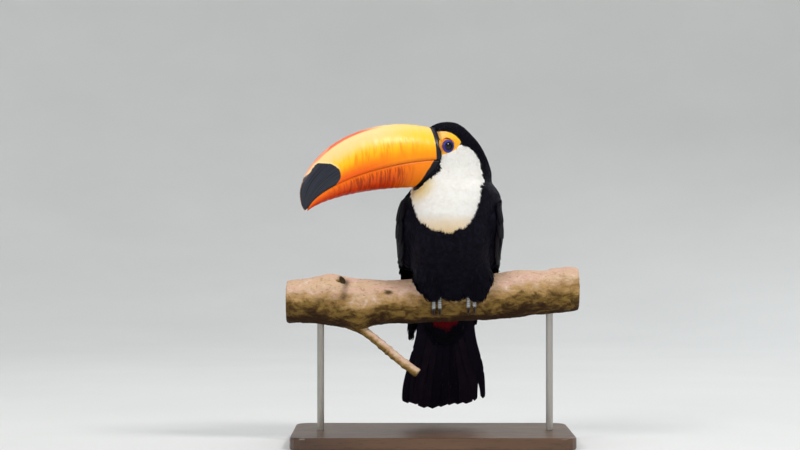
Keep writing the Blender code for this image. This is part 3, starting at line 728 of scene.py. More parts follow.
def bark_finish(name, light):
    """Beige and pink on top, olive on the flank and dark below, and wood on the cuts. light pales the top. The
    pale top is partly painted highlight and the dark underside partly painted shade; the rest is the bark's own
    colour.
    """
    made = Finish(name, Specular_IOR_Level=0.15)
    edge = made.edge
    patch = made.noise((22.0, 34.0, 34.0), 4.0, 0.6, 0.7)
    blotch = made.noise((85.0, 120.0, 120.0), 4.0, 0.62, 0.5)
    fine = made.noise((230.0, 420.0, 420.0), 5.0, 0.65)
    seams = made.noise((24.0, 80.0, 80.0), 4.0, 0.6, 0.4)
    crack = made.noise((40.0, 150.0, 34.0), 3.0, 0.6, 0.8)
    # lean runs from the underside to the top: the layers by it paint the top pale and the underside dark, partly
    # the bark's own colour and partly painted highlight and shade
    lean = made["lean"] + ((patch - 0.5) * 1.5 + (blotch - 0.5) * 1.0)
    rings = made.lines(0.085, made["ring"] + made.noise(45.0, 2.0) * 7.0, warp=0.6)
    flank = made.layers((0.09, 0.048, 0.012), (edge(blotch, 0.36, 0.62), (0.24, 0.145, 0.038)))
    middle = made.layers((0.32, 0.185, 0.065), (edge(seams, 0.4, 0.62), (0.46, 0.29, 0.12)))
    top = made.layers(
        paler(light, 0.63, 0.44, 0.29),
        (edge(seams, 0.42, 0.6), paler(light, 0.65, 0.42, 0.32)),
        (edge(blotch, 0.55, 0.7) * 0.7, paler(light, 0.74, 0.59, 0.48)),
        (edge(blotch, 0.42, 0.3) * 0.6, (0.3, 0.17, 0.08)),
    )
    wood = made.layers(
        made.ramp(rings, (0.1, (0.42, 0.26, 0.14)), (0.6, (0.5, 0.33, 0.19)), (0.9, (0.54, 0.37, 0.22))),
        (edge(crack, 0.60, 0.68) * 0.8, (0.12, 0.06, 0.03)),
        (edge(made.noise(140.0, 4.0), 0.5, 0.7) * 0.6, (0.22, 0.12, 0.06)),
        (edge(made["rim"] - fine * 0.1, 0.78, 0.86), (0.13, 0.07, 0.035)),
    )
    colour = made.layers(
        (0.034, 0.015, 0.005),
        (edge(lean, -0.95, -0.35), flank),
        (edge(lean, -0.25, 0.2), middle),
        (edge(lean, 0.1, 0.75), top),
        (edge(fine, 0.54, 0.7) * 0.45, (0.11, 0.06, 0.026)),
        (edge(fine, 0.42, 0.3) * edge(lean, -0.3, 0.4) * 0.35, (0.7, 0.52, 0.36)),
        # knots' scars and dark cut ends, and painted shadow along the crease under the stub
        (made["scar_and_shade"] * 0.92, (0.04, 0.026, 0.011)),
        (made["cut"], wood),
    )
    made.bump(seams, 0.8, 1.6)
    made.bump(blotch, 0.9, 1.2)
    made.bump(made.cells(150.0), 0.3, 0.6)
    made.bump(fine, 0.9, 0.8)
    return made.done(colour, fine, (0.3, 0.7), (0.7, 0.92))


def board_finish():
    made = Finish("stand_board", Coat_Weight=0.2, Coat_Roughness=0.3)
    figure = made.noise((3.0, 26.0, 26.0), 3.0, 0.5, 0.6)
    pores = made.noise((60.0, 900.0, 900.0), 4.0, 0.6)
    colour = made.layers(
        made.ramp(
            figure, (0.3, (0.05, 0.022, 0.011)), (0.5, (0.095, 0.044, 0.02)), (0.68, (0.15, 0.075, 0.036)),
        ),
        (made.edge(pores, 0.55, 0.7) * 0.6, (0.025, 0.012, 0.008)),
    )
    made.bump(pores, 0.3, 0.15)
    return made.done(colour, pores, (0.3, 0.3), (0.7, 0.48))


def metal_finish():
    made = Finish("stand_metal", Metallic=1.0)
    brushed = made.noise((2600.0, 2600.0, 60.0), 4.0, 0.6)
    made.bump(brushed, 0.15, 0.05)
    colour = made.ramp(brushed, (0.3, (0.3, 0.28, 0.25)), (0.7, (0.46, 0.44, 0.4)))
    return made.done(colour, brushed, (0.3, 0.26), (0.7, 0.44))


# ---- markings


def azimuth(points):
    """Degrees round the trunk's axis from -Y towards +X, from -230 to 130."""
    x, y = keyed(AXIS_KEYS, points[..., 2]), keyed(AXIS_KEYS, points[..., 2], 2)
    angle = np.degrees(np.arctan2(points[..., 0] - x, -(points[..., 1] - y)))
    return np.where(angle > 130.0, angle - 360.0, angle)


def tail_frame():
    """The tail's directions: down along it, aside and out of its upper side."""
    axis = unit(TAIL_END - TAIL_START)
    aside = np.array((1.0, 0.0, 0.0))
    dorsal = unit(np.cross(aside, axis))
    return axis, aside, dorsal * np.sign(dorsal[1])


def bib_and_cheek(points):
    """How far inside the white of the throat, breast and cheek."""
    forward, aside, up = in_head(points)
    z, angle = points[..., 2], azimuth(points)
    sides = np.minimum(keyed(BIB_LEFT, z) - angle, angle - keyed(BIB_RIGHT, z)) * math.radians(TRUNK_RADIUS)
    below = np.minimum(sides, (z - BIB_FOOT) * 1.3)
    cheek = CHEEK[2] - np.hypot(forward - CHEEK[0], up - CHEEK[1])
    cheek = np.where((forward > CHEEK[0]) & (up < 6.0), 12.0, cheek)
    share = np.where(aside > -4.0, ease(*CHEEK_JOIN, z), ease(*FAR_CHEEK_JOIN, z))
    return below * (1 - share) + cheek * share


def bare_face(points):
    """How far inside the bare skin round the eye."""
    forward, aside, up = in_head(points)
    rear = FACE_FLOOR + 0.045 * np.minimum(forward + 10.0, 0.0) ** 2
    floor = np.where(forward < -8.0, rear, FACE_FLOOR - 0.9 * (forward + 8.0))
    bare = np.minimum(FACE[2] - np.hypot(forward - FACE[0], up - FACE[1]), up - floor)
    return np.minimum(bare, np.abs(aside) - 5.5)


def markings(points):
    """Signed distances in millimetres, inside above 0, of white, bare and red, and shares of warm tints."""
    wobble = 0.35 * ripple(points, 7.0, 3)
    forward, _, up = in_head(points)
    x, y, z = np.moveaxis(points, -1, 0)
    bare = bare_face(points) + 0.5 * wobble
    chin = (forward > keyed(CHIN, up)) & (up < -2.0) & (up > -36.0) & (z > 285.0)
    white = np.where((bare > 0.0) | chin, -1.0, bib_and_cheek(points) + wobble)
    axis, _, dorsal = tail_frame()
    over, down = (points - TAIL_START) @ dorsal, (points - TAIL_START) @ axis
    red = np.minimum(np.minimum(y - 14.0, -1.5 - over), 17.0 - np.hypot(x - 16.0, np.minimum(z - 142.0, 0.0)))
    rump = 26.0 * (1 - np.hypot((down - RUMP[0]) / RUMP[1], (x - RUMP[2]) / RUMP[3]))
    return {
        "white": np.maximum(white, np.minimum(rump, over - 5.0) + 4.0 * wobble),
        "bare": bare,
        "red": np.minimum(red, 160.0 - z) + 2.0 * wobble,
        "cream": (0.62 * ease(262.0, 248.0, z) + 0.36 * ease(249.0, 239.0, z)) * ease(10.0, 0.0, y),
        "gold": ease(26.0, 6.0, np.linalg.norm(points - from_head(17.0, 8.0, -33.0), axis=-1)),
        "pale": ease(-12.0, -2.0, forward + 0.25 * (up - 12.0)),
    }


# ---- skin


def merged_flesh():
    """The solids of the flesh as one closed surface, in metres."""
    joined = bmesh.new()
    for name in FLESH:
        part = bmesh.new()
        part.from_mesh(NODES[name].data)
        bmesh.ops.remove_doubles(part, verts=part.verts, dist=1e-6)
        part.normal_update()
        for vert in part.verts:
            vert.co += vert.normal * SWELL * MM
        held = bpy.data.meshes.new("held")
        part.to_mesh(held)
        part.free()
        joined.from_mesh(held)
        bpy.data.meshes.remove(held)
    mesh = bpy.data.meshes.new("flesh")
    joined.to_mesh(mesh)
    joined.free()
    maker = placed("flesh", mesh)
    remesh = maker.modifiers.new("remesh", "REMESH")
    remesh.mode = "VOXEL"
    remesh.voxel_size = VOXEL * MM
    shape = bpy.data.meshes.new_from_object(maker.evaluated_get(bpy.context.evaluated_depsgraph_get()))
    bpy.data.objects.remove(maker)
    return shape


def smoothed(points, edges, rounds):
    """Each point moves halfway to the middle of its neighbours."""
    for _ in range(rounds):
        total, count = np.zeros_like(points), np.zeros(len(points))
        np.add.at(total, edges[:, 0], points[edges[:, 1]])
        np.add.at(total, edges[:, 1], points[edges[:, 0]])
        np.add.at(count, edges.ravel(), 1)
        points = points + 0.5 * (total / np.maximum(count, 1)[:, None] - points)
    return points


def coat_depth(points):
    """How deep the skin lies under the coat's outline."""
    forward, _, up = in_head(points)
    return 0.5 + 2.4 * ease(18.0, 110.0, np.hypot(forward + 5.0, up - 5.0))


def settled(points):
    """The points with the plumage puffed out or drawn in along X, as LIES says."""
    x, y, z = np.moveaxis(points, -1, 0)
    push = 0.0 * x
    for size, height, rise, depth, run, start, full in LIES:
        near = np.exp(-(((z - height) / rise) ** 2 + ((y - depth) / run) ** 2))
        push = push + size * near * ease(start, full, x)
    return points + stacked(push, 0.0, 0.0)


def build_skin():
    """The body's surface under the coat: points and triangles."""
    shape = merged_flesh()
    points, triangles = mesh_arrays(shape)
    points = points / MM
    edges = read(shape.edges, "vertices", 2, np.int32)
    points = smoothed(points, edges, 4)
    shape.vertices.foreach_set("co", (points * MM).astype(np.float32).ravel())
    shape.update()
    normals = vertex_normals(shape)
    tree = tree_of(points, triangles)
    rays = [tree.ray_cast(Vector(p - n * 0.05), Vector(-n), 12.0)[3] or 12.0 for p, n in zip(points, normals)]
    sink = np.minimum(coat_depth(points) + SWELL, 0.3 * np.array(rays))
    return settled(smoothed(points - normals * sink[:, None], edges, 2)), triangles


def finer_face(points, triangles):
    """The skin with more triangles round the eyes, and with the bare face's creases."""
    forward, aside, up = in_head(points)
    near = (np.hypot(forward + 7.0, up - 14.0) < 23.0) & (np.abs(aside) > 8.0)
    mesh = bpy.data.meshes.new("face")
    mesh.from_pydata(points.tolist(), [], triangles.tolist())
    work = bmesh.new()
    work.from_mesh(mesh)
    work.verts.ensure_lookup_table()
    cut = [e for e in work.edges if near[e.verts[0].index] and near[e.verts[1].index]]
    bmesh.ops.subdivide_edges(work, edges=cut, cuts=2, use_grid_fill=True)
    bmesh.ops.triangulate(work, faces=work.faces)
    work.to_mesh(mesh)
    work.free()
    mesh.update()
    places, triangles = mesh_arrays(mesh)
    creases = 0.22 * ripple(places, 3.2, 11) + 0.12 * ripple(places, 1.5, 12)
    places = places + vertex_normals(mesh) * (creases * ease(-0.5, 1.5, markings(places)["bare"]))[:, None]
    bpy.data.meshes.remove(mesh)
    return places, triangles


def unwrap(piece):
    """Lays out the piece's surface as OFBake, and gives each corner's place on it."""
    piece.data.uv_layers.new(name="OFBake")
    bpy.context.view_layer.objects.active = piece
    piece.select_set(True)
    bpy.ops.object.mode_set(mode="EDIT")
    bpy.ops.mesh.select_all(action="SELECT")
    bpy.ops.uv.smart_project(angle_limit=1.15, island_margin=0.002, scale_to_bounds=True)
    bpy.ops.object.mode_set(mode="OBJECT")
    piece.select_set(False)
    return read(piece.data.uv_layers["OFBake"].data, "uv", 2).reshape(-1, 3, 2)


# ---- coat


def wing_grid(side_name, rows=90, columns=30):
    """The wing's outer face as a grid along its length and across from its ventral to its dorsal edge."""
    side = 1 if side_name == "left" else -1
    t, s = np.linspace(0.0, 1.0, rows), np.linspace(0.0, 1.0, columns)
    drawn = np.maximum(0.0, t - WING_SAME) / (1 - WING_SAME)
    pull = stacked(-WING_TUCK[side_name] * drawn, 0.0, WING_LIFT[side_name] * drawn)
    low, high = along(WING_VENTRAL, t) + pull, along(WING_DORSAL, t) + pull
    out = unit(np.cross(high - low, WING_RUN))
    out *= np.sign(out[:, :1])
    arch = (4 * s * (1 - s)) ** WING_FULLNESS
    grid = low[:, None] + (high - low)[:, None] * s[None, :, None]
    grid = grid + out[:, None] * (along(WING_BULGES, t)[:, None, None] * arch[None, :, None] + 0.5 * WING_RIM)
    grid[..., 0] = BODY_MIDDLE + side * grid[..., 0]
    grid = settled(grid)
    normals = sheet_normals(grid)
    normals *= np.sign(normals[rows // 2, columns // 2, 0] * side)
    return grid, normals


def on_grid(grid, t, s):
    """The grid's value at t along it and s across it, both from 0 to 1."""
    rows, columns = grid.shape[:2]
    i, j = np.clip(t, 0, 1) * (rows - 1), np.clip(s, 0, 1) * (columns - 1)
    i0, j0 = np.minimum(i.astype(int), rows - 2), np.minimum(j.astype(int), columns - 2)
    u, v = (i - i0)[..., None], (j - j0)[..., None]
    top = grid[i0, j0] * (1 - v) + grid[i0, j0 + 1] * v
    low = grid[i0 + 1, j0] * (1 - v) + grid[i0 + 1, j0 + 1] * v
    return top * (1 - u) + low * u


def flow(points):
    """Which way the feathers lie: back from the bill over the head, then down the body to the tail."""
    forward, _, _ = in_head(points)
    fan = unit(points - from_head(34.0, 0.0, 6.0)) - UP * (1.3 * ease(-8.0, -50.0, forward))[..., None]
    back = ease(-15.0, 30.0, points[..., 1])
    down = stacked(0.0, 0.1 + 0.3 * back, -1.0)
    share = ease(292.0, 332.0, points[..., 2])[..., None]
    return unit(fan * share + down * (1 - share))


def spread_roots(count):
    """Random places on the skin: points, normals, and where each is on the skin's unwrap."""
    a, b, c = (skin_points[skin_triangles[:, k]] for k in range(3))
    area = np.linalg.norm(np.cross(b - a, c - a), axis=1)
    chosen = RNG.choice(len(area), count, p=area / area.sum())
    u, v = RNG.random((2, count, 1))
    u, v = np.where(u + v > 1, 1 - u, u), np.where(u + v > 1, 1 - v, v)

    def blend(values):
        return values[:, 0] * (1 - u - v) + values[:, 1] * u + values[:, 2] * v

    corners = skin_triangles[chosen]
    return blend(skin_points[corners]), unit(blend(skin_normals[corners])), blend(skin_uv[chosen])


def apart(points, spacing):
    """The first points that keep their own spacing from those kept before."""
    keys = np.floor(points / float(spacing.max())).astype(int).tolist()
    ring = [(x, y, z) for x in (-1, 0, 1) for y in (-1, 0, 1) for z in (-1, 0, 1)]
    places, limits, kept, cells = points.tolist(), (spacing**2).tolist(), [], {}
    for n, (i, j, k) in enumerate(keys):
        px, py, pz = places[n]
        near = (q for x, y, z in ring for q in cells.get((i + x, j + y, k + z), ()))
        if not any((px - x) ** 2 + (py - y) ** 2 + (pz - z) ** 2 < limits[n] for x, y, z in near):
            kept.append(n)
            cells.setdefault((i, j, k), []).append((px, py, pz))
    return np.array(kept)


def hidden(points, normals, tree):
    """Whether something lies close over each point."""
    rays = (tree.ray_cast(Vector(p + n * 0.7), Vector(n), COVER)[0] for p, n in zip(points, normals))
    return np.array([hit is not None for hit in rays])


def vane_shape(columns=6):
    """A feather as a thin closed vane with a fringed tip: places (along, across, up) and triangles."""
    rows = ((0.0, 0.3), (0.2, 0.72), (0.45, 0.98), (0.68, 1.0), (0.84, 0.86))
    across = np.linspace(-1.0, 1.0, columns + 1)
    places = [(u, v * width, 1.0 - 0.85 * v * v) for u, width in rows for v in across]
    wide, faces = columns + 1, []
    for i in range(len(rows) - 1):
        for j in range(columns):
            a, b = i * wide + j, (i + 1) * wide + j
            faces += [(a, a + 1, b + 1), (a, b + 1, b)]
    spine = len(places)
    places += [(u, 0.0, -0.35) for u, _ in rows[:-1]]
    for i in range(len(rows) - 2):
        a, b, low = i * wide, (i + 1) * wide, spine + i
        faces += [(a, b, low + 1), (a, low + 1, low)]
        faces += [(a + columns, low, low + 1), (a + columns, low + 1, b + columns)]
    faces += [(j + 1, j, spine) for j in range(columns)]
    last, foot = spine - wide, len(places)
    chain = [last]
    for j in range(columns):
        v = 0.5 * (across[j] + across[j + 1])
        places.append((rows[-1][0] - 0.02, v * rows[-1][1], -0.2))
        places.append((1.0 - 0.15 * v * v + 0.03 * (j % 2), v * 0.8, 0.25 + 0.1 * (j % 3)))
        low, tip, a = foot + 2 * j, foot + 2 * j + 1, last + j
        faces += [(a, a + 1, tip), (a, tip, low), (low, tip, a + 1)]
        chain += [low, a + 1]
    middle, before = foot - 1, last - wide
    faces += [(middle, here, there) for here, there in zip(chain, chain[1:])]
    faces += [(before, last, middle), (before + columns, middle, last + columns)]
    places = np.array(places)
    return places, outward(places, [np.array(faces)])[0]


def tuft_shape(seed, blades=6, spread=1.25):
    """A soft feather as a bundle of fine closed blades that part towards their tips."""
    draw = np.random.default_rng(seed)
    rows = ((0.0, 0.5, 0.0), (0.35, 1.0, 0.8), (0.75, 0.62, 0.9))
    places, faces = [], []
    for n in range(blades):
        v = 2 * (n + 0.5) / blades - 1
        start, end = 0.45 * v + draw.uniform(-0.12, 0.12), spread * v + draw.uniform(-0.2, 0.2)
        length = (1.0 - 0.22 * v * v) * draw.uniform(0.84, 1.0)
        rise = draw.uniform(0.5, 1.0)
        half, first = 1.15 / blades, len(places)
        for u, width, lift in rows:
            middle = start + (end - start) * u
            for side, height in ((-1, 0.0), (0, 0.42), (1, 0.0)):
                places.append((u * length, middle + side * half * width, lift * rise * 0.7 + height))
        places.append((length, end, 0.75 * rise))
        for i in (0, 3):
            for j in range(3):
                a, b = first + i + j, first + i + (j + 1) % 3
                faces += [(a, b, b + 3), (a, b + 3, a + 3)]
        faces.append((first, first + 2, first + 1))
        faces += [(first + 6 + j, first + 6 + (j + 1) % 3, first + 9) for j in range(3)]
    places = np.array(places)
    return places, outward(places, [np.array(faces)])[0]


def laid(points, normals, heading, size, shapes, depth=0.25):
    """Feathers laid on the skin from these roots. size has a row of length, half width and lift for each.

    Gives points (feather, place, 3), and which way is up there.
    """
    ahead = unit(heading - normals * (heading * normals).sum(-1, keepdims=True))
    length, width, lift = (size[:, k, None] for k in range(3))
    ends = []
    for share, raised in ((0.5, 0.75), (1.0, 1.0)):
        found = [skin_tree.find_nearest(Vector(p)) for p in points + ahead * length * share]
        place, normal = (np.array([f[k] for f in found]) for k in (0, 1))
        turned_away = (normal * normals).sum(-1, keepdims=True) < 0.1
        normal = unit(np.where(turned_away, normals, normal) + 0.6 * normals)
        ends.append((place + normal * lift * raised, normal))
    (middle, _), (tip, tip_normal) = ends
    root = points - normals * depth
    bend = 2 * middle - 0.5 * (root + tip)
    u = shapes[..., 0, None]
    path = (1 - u) ** 2 * root[:, None] + 2 * u * (1 - u) * bend[:, None] + u**2 * tip[:, None]
    run = unit((1 - u) * (bend - root)[:, None] + u * (tip - bend)[:, None])
    up = unit(normals[:, None] * (1 - u) + tip_normal[:, None] * u)
    aside = unit(np.cross(up, run))
    up = np.cross(run, aside)
    across, over = shapes[..., 1] * width, shapes[..., 2] * lift * 0.55
    return path + aside * across[..., None] + up * over[..., None], up


def lay_coat(name, finish, slot, roots, shapes, size, fields, soften):
    """Feather pieces over the skin, each under PIECE_LIMIT. soften turns their normals to the body's."""
    points, normals, uv = roots
    count, faces = len(points), shapes[0][1]
    kind = RNG.integers(0, len(shapes), count)
    used = np.stack([places for places, _ in shapes])[kind]
    mirror = RNG.choice((-1.0, 1.0), count) if len(shapes) > 1 else np.ones(count)
    used[..., 1] *= mirror[:, None]
    heading = flow(points) + 0.13 * RNG.normal(size=(count, 3))
    bodies, ups = laid(points, normals, heading, size, used)
    fields = {**fields, "tone": RNG.random(count)}
    places, per_piece = bodies.shape[1], PIECE_LIMIT // len(faces)
    for n, first in enumerate(range(0, count, per_piece)):
        part = slice(first, min(first + per_piece, count))
        corners = faces[None] + (np.arange(part.stop - part.start) * places)[:, None, None]
        corners = np.where(mirror[part, None, None] < 0, corners[..., ::-1], corners).reshape(-1, 3)
        spot = uv[part, None] + (used[part][..., (1, 0)] - (0.0, 0.5)) * UV_PATCH
        values = {key: np.repeat(v[part], places) for key, v in fields.items()}
        values.update(run=used[part][..., 0], across=used[part][..., 1])
        label = f"{name}_{n + 1}"
        piece = make_piece(label, bodies[part], [corners], finish, slot, (), values, spot.reshape(-1, 2))
        soft = unit(vertex_normals(piece.data) + soften * ups[part].reshape(-1, 3))
        piece.data.normals_split_custom_set_from_vertices(soft)


def on_wing(points):
    """Whether each point lies nearer to a wing than to the rest of the flesh."""
    wings = [name for name in FLESH if name.startswith("wing")]
    trees = node_tree(wings), node_tree([name for name in FLESH if name not in wings])
    to_wing, to_rest = (np.array([tree.find_nearest(Vector(p))[3] for p in points]) for tree in trees)
    return to_wing < to_rest


def coat():
    """All feathers of the body, from roots spread over the skin. They are finer towards the face."""
    points, normals, uv = spread_roots(COAT_ROOTS)
    (x, y, z), (forward, aside, up) = points.T, in_head(points)
    winged, at_root = on_wing(points), markings(points)
    share = np.clip((np.linalg.norm(points - from_head(0.0, 0.0, 8.0), axis=-1) - 15.0) / 90.0, 0.0, 1.0)
    bib = ease(-25.0, 0.0, at_root["white"])
    border = ease(11.0, 2.5, np.abs(at_root["white"])) * (z > 225.0)
    size = FACE_FEATHER + share[:, None] * BODY_GROWTH
    size = size * (1 - 0.25 * bib * share)[:, None]
    size = size * (1 - 0.45 * border * share**0.5)[:, None]

    # A feather has the colour of the place near its tip, and edges at the back are ragged
    marks = markings(points + flow(points) * (0.85 * size[:, :1]))
    white = (marks["white"] > RNG.uniform(-3.0, 3.0, len(points)) * (y > 12.0)) & ~winged
    red = (marks["red"] > RNG.uniform(-3.0, 2.0, len(points))) & ~winged & ~white
    spacing = (1.15 + 1.15 * share) * np.where(white, 0.82, 1.0) * (1 - 0.36 * border * share**0.5)

    # None stands on bare skin, at the eye, under the wing's long feathers or under another body
    eye = (np.hypot(forward - EYE_PLACE[0], up - EYE_PLACE[2]) < EYE_CLEAR) & (np.abs(aside) > 9.0)
    under_quills = winged & ((x - BODY_MIDDLE) * normals[:, 0] > 0) & (z < 236.0)
    index = np.flatnonzero((at_root["bare"] < -0.4) & ~eye & ~under_quills)
    index = index[apart(points[index], spacing[index])]
    for tree in (skin_tree, node_tree(("bill_upper", "bill_lower", "branch", "tail"))):
        index = index[~hidden(points[index], normals[index], tree)]

    # Black is soft on the belly, the head and the throat, and lies in vanes between
    soft = ease(215.0, 190.0, z) + ease(306.0, 326.0, z) > RNG.random(len(points))
    soft |= (forward > -34.0) & (z > 284.0)
    tufts, vanes, black = [tuft_shape(seed) for seed in range(4)], [vane_shape()], ~white & ~red
    for colour, kind, chosen, shapes, soften in (
        ("white", "coat", white, tufts, 2.2), ("red", "coat", red, tufts, 0.8),
        ("black", "coat", black & soft, tufts, 0.8), ("black", "vanes", black & ~soft, vanes, 0.8),
    ):
        part = index[chosen[index]]
        roots = points[part], normals[part], uv[part]
        fields = {key: marks[key][part] for key in ("cream", "gold")}
        slot = "plumage_" + colour
        lay_coat(f"{colour}_{kind}", FINISHES[colour], slot, roots, shapes, size[part], fields, soften)


# ---- bill


def bill_relief(upper, rise, from_ridge, forward, wave):
    """Relief of a bill half: its growth, and the lower's groove or the upper's keel and base."""
    relief = (0.1 if upper else 0.16) * wave * ease(0.0, 20.0, forward) * ease(0.02, 0.12, rise)
    if not upper:  # a groove along the cutting edge
        return relief - 0.5 * bell(rise - 0.1, 0.06) * ease(5.0, 30.0, forward) * ease(150.0, 120.0, forward)
    keel = 0.5 * bell(from_ridge, 0.16) - 0.35 * bell(from_ridge - 0.42, 0.16)
    relief = relief + keel * ease(8.0, 40.0, forward) * ease(150.0, 130.0, forward)
    return relief + 0.55 * ease(1.6, 0.6, forward) * ease(-5.0, -2.0, forward)


def bill_fields(upper, forward, aside, up, rise, reach):
    """Signed distances, inside above 0, of the bill's markings."""
    fields = {"forward": forward, "height": rise}
    if not upper:
        return {**fields, "band": keyed(LOWER_BASE, up) - forward}
    # The black spot is a blunt oval from its rear edge to the bill's tip, and leaves the ridge free
    rear = 116.5 + 66.0 * np.maximum(0.3 - rise, 0.0) ** 2
    far = np.maximum(SPOT_MIDDLE[0] - forward, 0.0) / (SPOT_MIDDLE[0] - rear)
    high = np.maximum(up - SPOT_MIDDLE[1], 0.0) / SPOT_HEIGHT
    oval = (far**SPOT_POWER + high**SPOT_POWER) ** (1 / SPOT_POWER)
    over = (1 - rise) * np.linalg.norm(reach, axis=-1)[:, None]
    return {
        **fields,
        "spot": soft_min((1 - oval) * 21.0, over - 2.6 * ease(158.0, 150.0, forward)),
        "band": 2.5 - forward,
        "ridge": 3.2 - np.abs(aside) - 4.0 * (1 - rise),
        "rim": np.minimum(ease(118.0, 135.0, forward) * 3.0 - over, 1.0) - 1.0,
    }


def build_bill(name, node, outer, share, bulge, finish, slot):
    """One half of the bill, from the gape's curve out to its own, with rings that close its base."""
    upper = node == "bill_upper"
    way = 1 if upper else -1
    rows, columns = 190, 78
    t = np.concatenate((np.zeros(3), np.linspace(0.0, 1.0, rows - 3)))
    sunk = np.concatenate((np.array((6.0, 4.0, 2.0)), np.zeros(rows - 3)))[:, None]
    a = np.linspace(0.0, math.pi, columns)
    inner = bezier(GAPE, t)
    reach = bezier(outer, t) - inner
    gap = 0.15 / np.maximum(np.linalg.norm(reach, axis=-1), 1.0)[:, None]
    rise = gap + (1 - gap) * np.sin(a) ** (1 / bulge)
    tip = np.sqrt(np.clip(1 - ((t - 0.95) / 0.052).clip(0) ** 2, 0.02, 1))
    width = share * along(BILL_HALF_WIDTHS, t) * tip
    aside = width[:, None] * np.sign(np.cos(a)) * np.abs(np.cos(a)) ** (1.6 / bulge) * (1 - 0.3 * rise**2)
    place = inner[:, None] + reach[:, None] * rise[..., None]
    forward, up = place[..., 0] - sunk, place[..., 1]
    grid = from_head(forward, aside * (1 - 0.015 * sunk), up)
    out = sheet_normals(grid)
    out *= np.sign((out[rows // 2, columns // 2] @ UP)) * way
    wave = ripple(stacked(forward, up * 0.12, aside * 0.1), 7.0, 5)
    relief = bill_relief(upper, rise, np.abs(a - math.pi / 2)[None], forward, wave)
    teeth = np.abs(((forward + 0.8 * np.sin(forward * 0.3)) / TOOTH) % 1.0 - 0.35)
    saw = 0.5 * teeth * np.exp(-rise / 0.02) * ease(25.0, 45.0, forward) * ease(150.0, 138.0, forward)
    grid = grid + out * relief[..., None] * np.sqrt(tip)[:, None, None] + UP * (saw * way)[..., None]
    return make_tube(name, grid, finish, slot, (node,), **bill_fields(upper, forward, aside, up, rise, reach))


# ---- eyes


def eye_rings(side, radius, height, columns):
    """A surface round the eye's axis through rings of these radii and heights, with their middle and axis."""
    forward, aside, up = EYE_PLACE
    middle, axis, a = from_head(forward, side * aside, up), side * LEFT, turns(columns)
    around = AHEAD * np.cos(a)[:, None] + UP * np.sin(a)[:, None]
    grid = middle + axis * height[:, None, None] + around * radius[:, None, None]
    return grid, middle, axis, radius[:, None] + 0 * a, a + 0 * radius[:, None]


def build_eye(name, side, finishes):
    fall = np.linspace(0.0, 1.0, 40) ** 1.1 * math.radians(150.0)
    radius = EYEBALL * np.sin(fall)
    height = EYEBALL * np.cos(fall) + 0.3 * bell(radius, 3.6) * (fall < 1.5)  # the cornea stands out a little
    radius[0] = 0.02
    grid, _, _, ring, turn = eye_rings(side, radius, height, 56)
    make_tube("eyeball_" + name, grid, finishes["eye"], "eye", ("eye_" + name,), ring=ring, turn=turn)

    profile = along(LID_PROFILE, np.linspace(0.0, 1.0, 46))
    grid, middle, axis, ring, turn = eye_rings(side, profile[:, 0], profile[:, 1], 120)
    away = grid - middle
    height = away @ axis
    above = (grid + axis * (RAY - height)[..., None]).reshape(-1, 3)
    rays = [skin_tree.ray_cast(Vector(p), Vector(-axis), RAY_REACH)[3] or RAY_REACH for p in above]
    skin_height = RAY - np.array(rays).reshape(ring.shape)
    level = skin_height + 0.6 * ease(10.9, 9.0, ring) - 1.6 * ease(10.2, 11.1, ring)
    inner = ease(4.8, 5.6, ring)
    folds = 0.07 * np.sin(ring * 5.2 + 1.6 * np.sin(3 * turn) + 2.0 * ripple(grid, 6.0, 22)) * inner
    folds = (folds + 0.12 * ripple(grid, 2.2, 21) * inner) * ease(11.0, 9.5, ring)
    risen = height + (level - height) * ease(6.8, 10.4, ring)
    grid = middle + away - axis * height[..., None] + axis * (risen + folds)[..., None]
    make_tube("lid_" + name, grid, finishes["lid"], "eye", (), out=ring, turn=turn)


# ---- long feathers


def add_vane(parts, top, low, path, across):
    """Adds a feather from its upper and lower sheets (rows, columns, 3), round the path of its shaft."""

    def ringed(upper, lower):
        return np.concatenate((upper, lower[:, -2:0:-1]), axis=1)

    length = np.concatenate(((0.0,), np.cumsum(np.linalg.norm(np.diff(path, axis=0), axis=1))))
    parts.add(ringed(top, low), run=length[:, None], across=ringed(across, across), tone=RNG.random())


def tapered(u, root, tip_share, draw):
    """A long feather's width along its run, rounded at the tip, and nicks at its edges where barbs part."""
    width = root + (1 - root) * ease(0.0, 0.35, u)
    width = width * np.clip(1 - ((u - 1 + tip_share) / tip_share).clip(0) ** 2.4, 0.0004, 1) ** 0.42
    nicks = np.ones((2, len(u)))
    for side in range(2):
        for row in draw.choice(np.arange(len(u) // 2, len(u) - 2), 2, replace=False):
            nicks[side, row] = draw.uniform(0.84, 0.95)
    return width, nicks


def nicked(half, v, nicks):
    """Each place's distance from the shaft, by the half width of its row."""
    nick = np.ones((len(half), len(v)))
    nick[:, 0], nick[:, -1] = nicks
    return half[:, None] * v * nick


